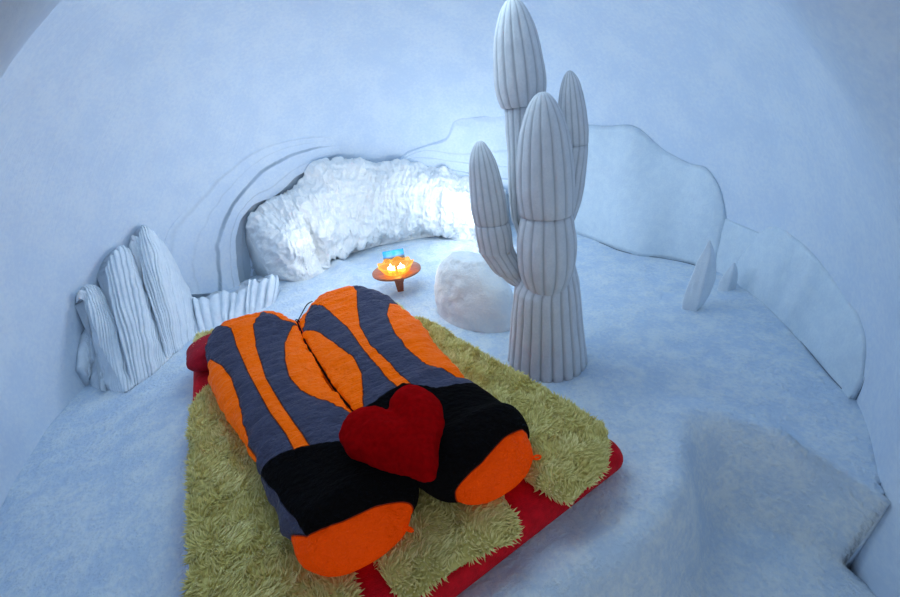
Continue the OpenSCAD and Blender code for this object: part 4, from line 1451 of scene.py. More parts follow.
@dataclass
class SnowBoulder:
    """Rounded block of snow beside the bed, rougher on its candle-lit side."""

    at: Spot = (0.3, -0.12)
    turn: float = math.radians(-62)
    half: Spot = (0.315, 0.185)
    height: float = 0.44
    lumps: float = 0.016
    crumbs: float = 0.005

    def build(self, wardrobe: Wardrobe) -> None:
        """Builds and dresses the boulder."""
        cap = 0.7 + 0.299 * np.sin(np.linspace(0.05, 1, 22) * math.pi / 2)
        rise = np.concatenate([np.linspace(0, 0.7, 26), cap])
        width = curve_at(rise, (0, 0.2, 0.45, 0.7, 0.88, 0.97, 1.0), (1, 1, 0.93, 0.76, 0.5, 0.26, 0.02))
        turn = full_turn(96)
        x = self.half[0] * width[:, None] * np.cos(turn)
        y = self.half[1] * width[:, None] * np.sin(turn)
        z = np.repeat(rise[:, None] * self.height, len(turn), 1)
        piece = loft("boulder", turned_to(np.stack([x, y, z], -1), self.at, self.turn, PLATFORM))
        p, noise = points_of(piece), SmoothNoise(51)
        side = smooth_step(self.at[0] - p[:, 0], -0.1, 0.15)
        rough = self.lumps * noise.layered(p, 0.15, 2)
        rough += side * self.crumbs * noise.layered(p + 3, 0.05, 3, 0.6)
        push(piece, p, rough * smooth_step(p[:, 2], PLATFORM, PLATFORM + 0.04))
        finish_piece(piece, wardrobe.ridge, ("snow_boulder",))


@dataclass(frozen=True)
class BedFrame:
    """Place and turn of the bed on the platform."""

    at: Spot = (-0.52, -0.68)
    turn: float = math.radians(15)
    mattress_z: float = 0.52
    wool_z: float = 0.56
    edge: Pairs = (
        (-0.9, 0.7), (-0.77, 0.69), (-0.37, 0.64), (0.03, 0.6), (0.27, 0.575), (0.52, 0.53), (0.77, 0.48),
        (0.93, 0.44))

    def drawn_in(self, points: np.ndarray, inset: float = 0.0) -> np.ndarray:
        """Draws the right side in towards the bed's head, as the cover and the skins lie."""
        u, v, z = np.moveaxis(points, -1, 0)
        edge = table_at(v, self.edge) - inset * smooth_step(v, -0.8, -0.45)
        return np.stack([np.where(u > 0, u * edge / self.edge[0][1], u), v, z], -1)

    def to_room(self, points: np.ndarray) -> np.ndarray:
        """Turns bed places (along its width, along its length, height) into room ones."""
        return turned_to(points, self.at, self.turn)

    def to_bed(self, points: np.ndarray) -> np.ndarray:
        """Turns room places into bed ones."""
        c, s = math.cos(self.turn), math.sin(self.turn)
        x, y = points[..., 0] - self.at[0], points[..., 1] - self.at[1]
        return np.stack([c * x + s * y, -s * x + c * y, points[..., 2]], -1)


@dataclass
class Mattress:
    """Red foam mattress with a rounded rolled edge."""

    size: Point = (1.4, 2.0, 0.12)
    corner: float = 0.06
    roll: float = 0.055
    head: float = 0.93

    def build(self, bed: BedFrame, wardrobe: Wardrobe) -> None:
        """Builds and dresses the mattress."""
        turn = full_turn(160)
        half = np.array(self.size[:2]) / 2
        rings = []
        for a in np.linspace(-0.5, 0.5, 15) * math.pi:
            span = half - self.corner - self.roll * (1 - np.cos(a) ** 0.8)
            ring = np.stack([np.sign(np.cos(turn)) * span[0] + self.corner * np.cos(turn),
                             np.sign(np.sin(turn)) * span[1] + self.corner * np.sin(turn)], 1)
            z = PLATFORM + self.size[2] / 2 * (1 + np.sin(a))
            rings.append(level_ring(ring, z))
        rings = np.array(rings)
        rings[..., 1] *= np.where(rings[..., 1] > 0, self.head, 1)
        piece = loft("mattress_dressed", bed.to_room(bed.drawn_in(rings, 0.035)))
        p, out = points_of(piece), normals_of(piece)
        noise = SmoothNoise(61)
        p += out * (0.004 * noise.layered(p, 0.12, 3) - 0.003)[:, None]
        p[:, 2] = np.clip(p[:, 2], PLATFORM, bed.mattress_z)
        move_points(piece, p)
        finish_piece(piece, wardrobe.mattress, ("mattress",))


@dataclass(frozen=True)
class Skin:
    """One sheepskin: its place on the bed and its wavy outline."""

    name: str
    node: str
    at: Spot
    half: Spot
    lobes: int
    phase: float
    lift: float = 0.0


@dataclass
class Sheepskins:
    """Long-woolled skins under the sleeping bags."""

    thickness: float = 0.036
    length: float = 0.022
    width: float = 0.0048
    density: float = 19000.0
    skins: tuple[Skin, ...] = (
        Skin("wool_left", "sheepskin_left", (-0.462, -0.245), (0.226, 0.79), 5, 40),
        Skin("wool_middle", "sheepskin_middle", (0.015, -0.25), (0.247, 0.79), 6, 130),
        Skin("wool_right", "sheepskin_right", (0.484, -0.31), (0.218, 0.73), 5, 250),
        Skin("wool_corner", "", (-0.575, 0.8), (0.06, 0.15), 3, 20, 0.072),
        Skin("wool_head", "", (0.33, 0.64), (0.362, 0.27), 5, 90))

    def tuft_tree(self) -> bpy.types.NodeTree:
        """Geometry nodes that plant bent tufts of wool on the shown part of a skin."""
        tree = bpy.data.node_groups.new("wool_tufts", "GeometryNodeTree")
        sockets = {"Geometry": "Geometry", "Density": "Float", "Length": "Float", "Width": "Float",
                   "Seed": "Int", "Wool": "Material"}
        for key, kind in sockets.items():
            socket = tree.interface.new_socket(key, in_out="INPUT", socket_type="NodeSocket" + kind)
            if kind == "Float":
                socket.default_value = getattr(self, key.lower())
        tree.interface.new_socket("Geometry", in_out="OUTPUT", socket_type="NodeSocketGeometry")
        graph = Graph(tree)
        given = graph.add("NodeGroupInput").outputs
        shown = graph.add("GeometryNodeInputNamedAttribute", {"Name": "shown"}, data_type="FLOAT").outputs[0]
        amount = graph.math("MULTIPLY", given["Density"], shown)
        planted = graph.add("GeometryNodeDistributePointsOnFaces", {
            "Mesh": given["Geometry"], "Density": amount, "Seed": given["Seed"]})
        cone = graph.add("GeometryNodeMeshCone", {
            "Vertices": 3, "Side Segments": 2, "Radius Top": 0.0,
            "Radius Bottom": given["Width"], "Depth": given["Length"]}, fill_type="NONE")
        place = graph.add("GeometryNodeInputPosition").outputs[0]
        share = graph.math("DIVIDE", graph.parts(place)[2], given["Length"])
        curl = graph.math("MULTIPLY", graph.math("MULTIPLY", share, share),
                          graph.math("MULTIPLY", given["Length"], 0.45))
        shift = graph.add("ShaderNodeCombineXYZ", {0: curl}).outputs[0]
        named = {"Geometry": cone.outputs["Mesh"], "Name": "tip", "Value": share}
        tip = graph.add("GeometryNodeStoreNamedAttribute", named, data_type="FLOAT", domain="POINT")
        bent = graph.add("GeometryNodeSetPosition", {"Geometry": tip.outputs[0], "Offset": shift})
        waves = {"Vector": graph.vector("MULTIPLY", place, (1.0, 1.0, 0.5)), "Scale": 16.0, "Detail": 4.0}
        flow = graph.add("ShaderNodeTexNoise", waves).outputs["Color"]
        swirl = graph.vector("MULTIPLY", graph.vector("SUBTRACT", flow, (0.5, 0.5, 0.5)), (9.0, 9.0, 0.0))
        lean = graph.vector("ADD", planted.outputs["Normal"], swirl)
        aim = graph.add("FunctionNodeAlignRotationToVector", {"Vector": lean}, axis="Z")
        spin, size = (graph.add("FunctionNodeRandomValue", {2: low, 3: high, "Seed": given["Seed"]},
                                data_type="FLOAT").outputs[1] for low, high in ((-1.1, 1.1), (0.55, 1.15)))
        twist = graph.add("FunctionNodeAxisAngleToRotation", {"Axis": (0.0, 0.0, 1.0), "Angle": spin})
        turned = graph.add("FunctionNodeRotateRotation", {0: aim.outputs[0], 1: twist.outputs[0]},
                           rotation_space="LOCAL")
        tufts = graph.add("GeometryNodeInstanceOnPoints", {
            "Points": planted.outputs["Points"], "Instance": bent.outputs[0],
            "Rotation": turned.outputs[0], "Scale": size})
        joined = graph.add("GeometryNodeJoinGeometry")
        graph.feed(joined.inputs[0], given["Geometry"])
        graph.feed(joined.inputs[0], tufts.outputs[0])
        plain = graph.add("GeometryNodeRealizeInstances", {0: joined.outputs[0]})
        dressed = graph.add("GeometryNodeSetMaterial", {0: plain.outputs[0], "Material": given["Wool"]})
        graph.add("NodeGroupOutput", {0: dressed.outputs[0]})
        return tree

    def pelt(self, skin: Skin, bed: BedFrame, covers: Sequence[np.ndarray]) -> Piece:
        """Low crowned slab of a skin, marked where its wool shows.

        Args:
            skin: The skin.
            bed: Place of the bed.
            covers: Outlines in bed places that hide the wool.

        Returns:
            The slab.
        """
        a = np.radians(np.arange(0, 360, 3))
        wave = 0.965 + 0.035 * np.sin(skin.lobes * a + math.radians(skin.phase))
        outline = np.stack([skin.half[0] * wave * np.sign(np.cos(a)) * np.abs(np.cos(a)) ** 0.45,
                            skin.half[1] * wave * np.sign(np.sin(a)) * np.abs(np.sin(a)) ** 0.45], 1)
        noise = SmoothNoise(skin.lobes)
        rings = []
        for share, level in ((0.2, 0.0), (0.6, 0.0), (0.93, 0.0), (0.985, 0.25), (0.99, 0.55), (0.96, 0.85),
                             (0.9, 0.98), (0.75, 1.0), (0.55, 1.0), (0.35, 1.0), (0.15, 1.0)):
            ring = outline * share + skin.at
            z = bed.mattress_z + skin.lift + self.thickness * level
            rings.append(level_ring(ring, z))
        piece = loft(skin.name, bed.to_room(bed.drawn_in(np.array(rings))))
        sub = piece.modifiers.new("finer", "SUBSURF")
        sub.subdivision_type, sub.levels, sub.render_levels = "SIMPLE", 1, 1
        bake_modifiers(piece)
        p = points_of(piece)
        base = bed.mattress_z + skin.lift
        top = smooth_step(p[:, 2], base + 0.006, base + 0.03)
        p[:, 2] += top * (0.009 * noise.layered(p, 0.075, 3) - 0.004)
        move_points(piece, p)
        flat = bed.to_bed(p)[:, :2]
        hidden = np.max([outline_distance(flat, cover) for cover in covers], axis=0)
        shown = smooth_step(-hidden, -0.05, -0.02) * smooth_step(p[:, 2], base + 0.002, base + 0.012)
        store(piece, "shown", shown)
        # The pelt under the tufts takes a colour near the roots', with their painted shade.
        store(piece, "tip", 0.15 * np.ones(len(p)))
        shade_smooth(piece)
        return piece

    def build(self, bed: BedFrame, covers: Sequence[np.ndarray], wardrobe: Wardrobe) -> None:
        """Builds the skins and plants their wool."""
        tree = self.tuft_tree()
        seed_socket, wool_socket = (
            next(item.identifier for item in tree.interface.items_tree
                 if item.name == key and getattr(item, "in_out", "") == "INPUT") for key in ("Seed", "Wool"))
        for number, skin in enumerate(self.skins):
            piece = self.pelt(skin, bed, covers)
            piece.data.materials.append(wardrobe.wool)
            plant = piece.modifiers.new("wool", "NODES")
            plant.node_group = tree
            plant[seed_socket] = 70 + number
            plant[wool_socket] = wardrobe.wool
            bake_modifiers(piece)
            finish_piece(piece, wardrobe.wool, (skin.node,) if skin.node else ())


@dataclass(frozen=True)
class BagCut:
    """One sleeping bag: rows of (place along the bed, left, right, height, floor), and its panels."""

    name: str
    node: str
    inner: int
    joined: Spot
    rows: Rows
    orange: tuple[Pairs, ...]
    black: Pairs
    seed: int


@dataclass
class SleepingBags:
    """Two mummy bags zipped side by side, filled with down."""

    columns: int = 120
    length_steps: int = 160
    fold: float = 0.0092
    crease: float = 0.0042
    seam: float = 0.0045
    pucker: float = 0.006
    puff: float = 0.016
    left: BagCut = BagCut(
        "bag_left", "sleeping_bag_left", 1, (-0.86, -0.74),
        ((-0.858, -0.225, -0.165, 0.022, 0.02), (-0.848, -0.278, -0.118, 0.055, 0.01),
         (-0.83, -0.318, -0.084, 0.085, 0.004), (-0.8, -0.354, -0.045, 0.116, 0.001),
         (-0.757, -0.38, -0.02, 0.142, 0), (-0.71, -0.394, -0.012, 0.152, 0),
         (-0.6, -0.41, -0.015, 0.146, 0), (-0.376, -0.434, -0.073, 0.15, 0), (-0.2, -0.47, -0.097, 0.15, 0),
         (0.1, -0.54, -0.109, 0.15, 0), (0.3, -0.568, -0.115, 0.15, 0),
         (0.42, -0.575, -0.109, 0.148, 0.003), (0.54, -0.572, -0.11, 0.13, 0.035),
         (0.62, -0.562, -0.145, 0.11, 0.065), (0.7, -0.545, -0.185, 0.098, 0.08),
         (0.77, -0.505, -0.235, 0.08, 0.082), (0.815, -0.44, -0.29, 0.05, 0.09),
         (0.832, -0.385, -0.335, 0.02, 0.1)),
        (((-0.553, 0.48), (-0.496, 0.332), (-0.462, 0.176), (-0.451, 0.001), (-0.454, -0.159),
          (-0.448, -0.265), (-0.437, -0.346), (-0.7, -0.4), (-0.7, 0.5)),
         ((-0.515, 0.95), (-0.47, 0.72), (-0.42, 0.613), (-0.416, 0.443), (-0.39, 0.146), (-0.347, -0.2),
          (-0.317, -0.347), (-0.29, -0.6), (-0.239, -0.6), (-0.267, -0.385), (-0.295, -0.219),
          (-0.327, 0.035), (-0.332, 0.37), (-0.316, 0.564), (-0.263, 0.7), (-0.24, 0.95)),
         ((-0.135, 0.48), (-0.165, 0.419), (-0.205, 0.317), (-0.232, 0.141), (-0.241, -0.007),
          (-0.219, -0.123), (-0.175, -0.222), (-0.083, -0.377), (0.05, -0.4), (0.05, 0.5)),
         ((-0.27, 0.755), (-0.215, 0.665), (-0.15, 0.52), (-0.05, 0.45), (0.05, 0.6), (-0.15, 0.9)),
         ((-0.7, -0.675), (-0.399, -0.69), (-0.341, -0.753), (-0.243, -0.78), (-0.152, -0.788),
          (-0.071, -0.805), (0.1, -0.84), (0.1, -1.3), (-0.7, -1.3))),
        ((-0.424, -0.415), (-0.347, -0.428), (-0.239, -0.471), (-0.155, -0.509), (0.1, -0.56), (0.1, -0.84),
         (-0.071, -0.805), (-0.152, -0.788), (-0.243, -0.78), (-0.341, -0.753), (-0.376, -0.603)), 81)
    right: BagCut = BagCut(
        "bag_right", "sleeping_bag_right", -1, (-0.89, -0.78),
        ((-0.913, 0.18, 0.25, 0.022, 0.02), (-0.903, 0.138, 0.297, 0.055, 0.01),
         (-0.885, 0.098, 0.337, 0.085, 0.004), (-0.855, 0.055, 0.37, 0.116, 0.001),
         (-0.812, 0.012, 0.393, 0.142, 0), (-0.765, -0.01, 0.402, 0.152, 0),
         (-0.6, -0.012, 0.403, 0.146, 0), (-0.376, -0.07, 0.397, 0.15, 0), (-0.2, -0.095, 0.412, 0.15, 0),
         (0.1, -0.107, 0.45, 0.15, 0), (0.3, -0.113, 0.455, 0.15, 0), (0.44, -0.106, 0.45, 0.15, 0),
         (0.54, -0.098, 0.44, 0.148, 0.006), (0.62, -0.06, 0.425, 0.142, 0.012),
         (0.72, -0.005, 0.392, 0.132, 0.015), (0.8, 0.05, 0.335, 0.105, 0.02),
         (0.845, 0.105, 0.27, 0.06, 0.025), (0.862, 0.15, 0.22, 0.025, 0.035)),
        (((0.39, 0.365), (0.314, 0.222), (0.27, 0.035), (0.251, -0.157), (0.269, -0.317), (0.351, -0.45),
          (0.7, -0.5), (0.7, 0.42)),
         ((-0.02, 0.95), (0.0, 0.72), (0.06, 0.57), (0.094, 0.237), (0.088, -0.032), (0.094, -0.258),
          (0.118, -0.6), (0.159, -0.6), (0.145, -0.212), (0.128, -0.014), (0.15, 0.187), (0.215, 0.419),
          (0.29, 0.638), (0.3, 0.95)),
         ((-0.11, 0.401), (-0.04, 0.324), (-0.004, 0.14), (0.033, -0.053), (0.021, -0.197),
          (-0.041, -0.377), (-0.2, -0.4), (-0.2, 0.4)),
         ((-0.2, 0.42), (-0.085, 0.45), (-0.03, 0.61), (0.02, 0.74), (0.0, 0.95), (-0.25, 0.9)),
         ((-0.1, -0.9), (0.029, -0.867), (0.064, -0.855), (0.172, -0.848), (0.282, -0.82), (0.367, -0.812),
          (0.7, -0.81), (0.7, -1.3), (-0.1, -1.3))),
        ((-0.1, -0.4), (0.129, -0.381), (0.222, -0.483), (0.345, -0.508), (0.5, -0.51), (0.5, -0.81),
         (0.367, -0.812), (0.282, -0.82), (0.172, -0.848), (0.064, -0.855), (0.029, -0.867), (-0.1, -0.9)),
        82)
    zip_line: tuple[Point, ...] = (
        (-0.072, -0.376, 0.664), (-0.096, -0.2, 0.666), (-0.108, 0.1, 0.667), (-0.114, 0.3, 0.667),
        (-0.108, 0.43, 0.668), (-0.104, 0.54, 0.676))
    cords: tuple[tuple[Point, ...], ...] = (
        ((-0.104, 0.53, 0.678), (-0.06, 0.6, 0.69), (-0.01, 0.69, 0.692), (0.03, 0.745, 0.678)),
        ((-0.104, 0.53, 0.678), (-0.15, 0.585, 0.682), (-0.205, 0.672, 0.686), (-0.235, 0.735, 0.668)),
        ((-0.118, 0.51, 0.68), (-0.104, 0.55, 0.686), (-0.092, 0.515, 0.68)))
    loops: Rows = ((-0.1, -0.838, 0.6, -0.9), (0.35, -0.876, 0.6, -0.5))

    def outline(self, cut: BagCut) -> np.ndarray:
        """Outline of a bag in bed places."""
        rows = np.array(cut.rows)
        return np.concatenate([rows[:, [1, 0]], rows[::-1][:, [2, 0]]])

    def bag(self, cut: BagCut, bed: BedFrame, wardrobe: Wardrobe) -> None:
        """Builds and dresses one bag.

        Args:
            cut: Its shape and panels.
            bed: Place of the bed.
            wardrobe: Materials.
        """
        rows = np.array(cut.rows)
        share = np.linspace(0, 1, self.length_steps)
        share = 0.45 * (0.5 - 0.5 * np.cos(share * math.pi)) + 0.55 * share
        v = rows[0, 0] + (rows[-1, 0] - rows[0, 0]) * share
        low, high, tall, floor = (curve_at(v, rows[:, 0], rows[:, i]) for i in (1, 2, 3, 4))
        a = full_turn(self.columns)
        joined = smooth_step(v, *cut.joined) * (1 - 0.5 * smooth_step(v, 0.5, 0.66))
        edge = 0.3 + 0.4 * joined[:, None] * smooth_step(cut.inner * np.cos(a), -0.2, 1.0)
        rise = np.sin(a)
        lift = np.where(rise >= 0, edge + (1 - edge) * np.abs(rise) ** 0.75, edge * (1 + rise))
        across = np.sign(np.cos(a)) * np.abs(np.cos(a)) ** 0.8
        u = ((low + high) / 2)[:, None] + ((high - low) / 2)[:, None] * across
        z = bed.wool_z + floor[:, None] + tall[:, None] * lift
        rings = np.stack([u, np.repeat(v[:, None], len(a), 1), z], -1)[::-1]
        piece = loft(cut.name, bed.to_room(rings))
        p = points_of(piece)
        flat = bed.to_bed(p)
        orange = np.max([outline_distance(flat[:, :2], np.array(panel)) for panel in cut.orange], axis=0)
        black = outline_distance(flat[:, :2], np.array(cut.black))
        noise = SmoothNoise(cut.seed)
        flow = flat * [1, 1, 0] + 0.03 * noise.layered(flat, 0.25, 2)[:, None]
        seam = np.exp(-(orange / 0.01) ** 2) + 0.8 * np.exp(-((flat[:, 1] * 8 % 1 - 0.5) / 0.1) ** 2)
        folds = 0.6 * noise.at(flow, (0.15, 0.034, 1.0)) + 0.6 * noise.at(flow + 3.0, (0.06, 0.05, 1.0))
        fine = 1 - 2 * np.abs(noise.at(flow + 9.0, (0.045, 0.018, 1.0)))
        near = np.exp(-(black / 0.045) ** 2) * (flat[:, 1] < -0.7)
        puckers = noise.at(flow + 5.0, (0.02, 0.15, 1.0)) * near
        calm = smooth_step(-black, -0.004, 0.004)
        amount = calm * (self.fold * folds + self.crease * fine - self.seam * seam + self.pucker * puckers)
        foot = smooth_step(-flat[:, 1], 0.66, 0.72)
        puffed = foot * (1 - np.exp(-np.clip(black, 0, 1) / 0.03))
        amount += 0.005 * noise.layered(flow + 4.0, 0.13, 2) - 0.006 + 0.006 * (1 - calm) + self.puff * puffed
        above = smooth_step(flat[:, 2], bed.wool_z + 0.01, bed.wool_z + 0.05)
        push(piece, p, amount * above, bed.wool_z + 0.001)
        for key, values in (("orange", orange), ("black", black), ("foot", foot)):
            store(piece, key, values)
        finish_piece(piece, wardrobe.bag, (cut.node,))

    def trims(self, bed: BedFrame, wardrobe: Wardrobe) -> None:
        """Zip between the bags, its cords, and the small loops at the feet."""
        s = np.linspace(0, 1, 40)

        def path(points: Sequence[Point]) -> np.ndarray:
            """Smooth path through points of the bed."""
            knots = np.array(points)
            places = np.linspace(0, 1, len(knots))
            return bed.to_room(np.stack([curve_at(s, places, knots[:, i]) for i in range(3)], 1))

        dark = [tube("zip", path(self.zip_line), 0.005), *(tube("cord", path(c), 0.0032) for c in self.cords)]
        bright = []
        for u, v, z, way in self.loops:
            ring = full_turn(20)
            reach = 0.012 * (1 + np.cos(ring))
            points = [(u + r * math.cos(way), v + r * math.sin(way), z + 0.008 * math.sin(t))
                      for r, t in zip(reach, ring)]
            bright.append(tube("loop", path(points), 0.0035))
        count = sum(len(part.data.vertices) for part in dark)
        piece = join_meshes("bag_trims", dark + bright)
        shade = np.where(np.arange(len(piece.data.vertices)) < count, 1.0, -1.0)
        for key, values in (("black", shade), ("orange", shade ** 2), ("foot", shade ** 2)):
            store(piece, key, values)
        finish_piece(piece, wardrobe.bag)

    def build(self, bed: BedFrame, wardrobe: Wardrobe) -> None:
        """Builds both bags."""
        for cut in (self.left, self.right):
            self.bag(cut, bed, wardrobe)
        self.trims(bed, wardrobe)


@dataclass
class PlumpCushion:
    """Cushion swollen by a short cloth simulation."""

    voxel: float = 0.0085
    pressure: float = 4.0
    frames: int = 16
    cap: float = 0.014

    def swell(self, piece: Piece, coarser: float = 1.0) -> Piece:
        """Fills a closed form as a cushion.

        Args:
            piece: Closed form, slightly smaller than the cushion.
            coarser: Times the voxel size, for a cushion that hardly shows.

        Returns:
            The same object with its filled mesh.
        """
        remesh = piece.modifiers.new("even", "REMESH")
        remesh.mode, remesh.voxel_size = "VOXEL", self.voxel * coarser
        bake_modifiers(piece)
        start = points_of(piece)
        cloth = piece.modifiers.new("cloth", "CLOTH")
        cloth.settings.use_pressure = True
        cloth.settings.uniform_pressure_force = self.pressure
        cloth.settings.quality = 5
        cloth.settings.effector_weights.gravity = 0
        cloth.point_cache.frame_start, cloth.point_cache.frame_end = 1, self.frames
        scene = bpy.context.scene
        for frame in range(1, self.frames + 1):
            scene.frame_set(frame)
        bake_modifiers(piece)
        moved = points_of(piece) - start
        length = np.linalg.norm(moved, axis=1, keepdims=True)
        move_points(piece, start + moved * np.minimum(1, self.cap / np.maximum(length, 1e-9)))
        scene.frame_set(1)
        finer = piece.modifiers.new("finer", "SUBSURF")
        finer.levels = finer.render_levels = 1
        bake_modifiers(piece)
        shade_smooth(piece)
        return piece


@dataclass
class Pillows:
    """Red heart cushion on the bags and the dark red pillow at the bed's head."""

    cushion: PlumpCushion = field(default_factory=PlumpCushion)
    heart_at: Spot = (0.003, -0.64)
    heart_unit: float = 0.0101
    heart_stretch: float = 1.27
    heart_t: float = 0.1
    heart_z: float = 0.705
    heart_dent: float = 0.018
    heart_box: Pairs = ((-0.168, 0.172), (-0.862, -0.472))
    pillow_at: Spot = (-0.492, 0.745)
    pillow_half: Point = (0.212, 0.168, 0.056)

    def heart(self, bed: BedFrame, wardrobe: Wardrobe) -> None:
        """Builds the heart cushion."""
        a = full_turn(144)
        outline = self.heart_unit * np.stack([
            16 * np.sin(a) ** 3, self.heart_stretch * (
                13 * np.cos(a) - 5 * np.cos(2 * a) - 2 * np.cos(3 * a) - np.cos(4 * a))], 1)
        closed = np.vstack([outline, outline[:1]])
        run = np.concatenate([[0], np.cumsum(np.hypot(*np.diff(closed, axis=0).T))])
        even = np.linspace(0, run[-1], len(a), endpoint=False)
        outline = np.stack([np.interp(even, run, column) for column in closed.T], 1)
        soft = softened(29)
        outline = np.stack([np.convolve(np.r_[v[-14:], v, v[:14]], soft, "valid") for v in outline.T], 1)
        centre = np.array([0.0, -0.02])
        rings = []
        for level in np.linspace(-1, 1, 25) * math.pi / 2:
            share = max(0.03, math.cos(level) ** 0.55)
            z = self.heart_z + self.heart_t / 2 * (1 + math.sin(level))
            ring = centre + (outline - centre) * share + self.heart_at
            rings.append(level_ring(ring, z))
        piece = loft("heart_cushion_plump", bed.to_room(np.array(rings)))
        self.cushion.swell(piece)
        flat = bed.to_bed(points_of(piece))
        for axis, (low, high) in enumerate(self.heart_box):
            have = flat[:, axis].min(), flat[:, axis].max()
            flat[:, axis] = low + (flat[:, axis] - have[0]) * (high - low) / (have[1] - have[0])
        p = bed.to_room(flat)
        aside, along = (flat[:, 0] - self.heart_at[0]) / 0.035, (flat[:, 1] + 0.6) / 0.09
        dent = self.heart_dent * np.exp(-(aside ** 2 + along ** 2))
        p[:, 2] -= dent * smooth_step(p[:, 2], self.heart_z + 0.03, self.heart_z + 0.07)
        push(piece, p, 0.006 * SmoothNoise(91).layered(p, 0.055, 3))
        finish_piece(piece, wardrobe.plush, ("heart_cushion",))

    def pillow(self, bed: BedFrame, wardrobe: Wardrobe) -> None:
        """Builds the pillow."""
        a = full_turn(120)
        half_u, half_v, half_t = self.pillow_half
        corner = (np.abs(np.cos(a)) ** 4 + np.abs(np.sin(a)) ** 4) ** -0.25
        plan = np.stack([half_u * corner * np.cos(a), half_v * corner * np.sin(a)], 1)
        rings = []
        for level in np.linspace(-1, 1, 21) * math.pi / 2:
            share = max(0.03, math.cos(level) ** 0.7)
            z = bed.mattress_z + 0.003 + half_t * (1 + math.sin(level))
            rings.append(level_ring(plan * share + self.pillow_at, z))
        piece = loft("head_pillow_plump", bed.to_room(np.array(rings)))
        self.cushion.swell(piece, 1.6)
        p = points_of(piece)
        p[:, 2] = np.maximum(p[:, 2], bed.mattress_z)
        move_points(piece, p)
        finish_piece(piece, wardrobe.pillow, ("head_pillow",))

    def build(self, bed: BedFrame, wardrobe: Wardrobe) -> None:
        """Builds both cushions."""
        self.heart(bed, wardrobe)
        self.pillow(bed, wardrobe)


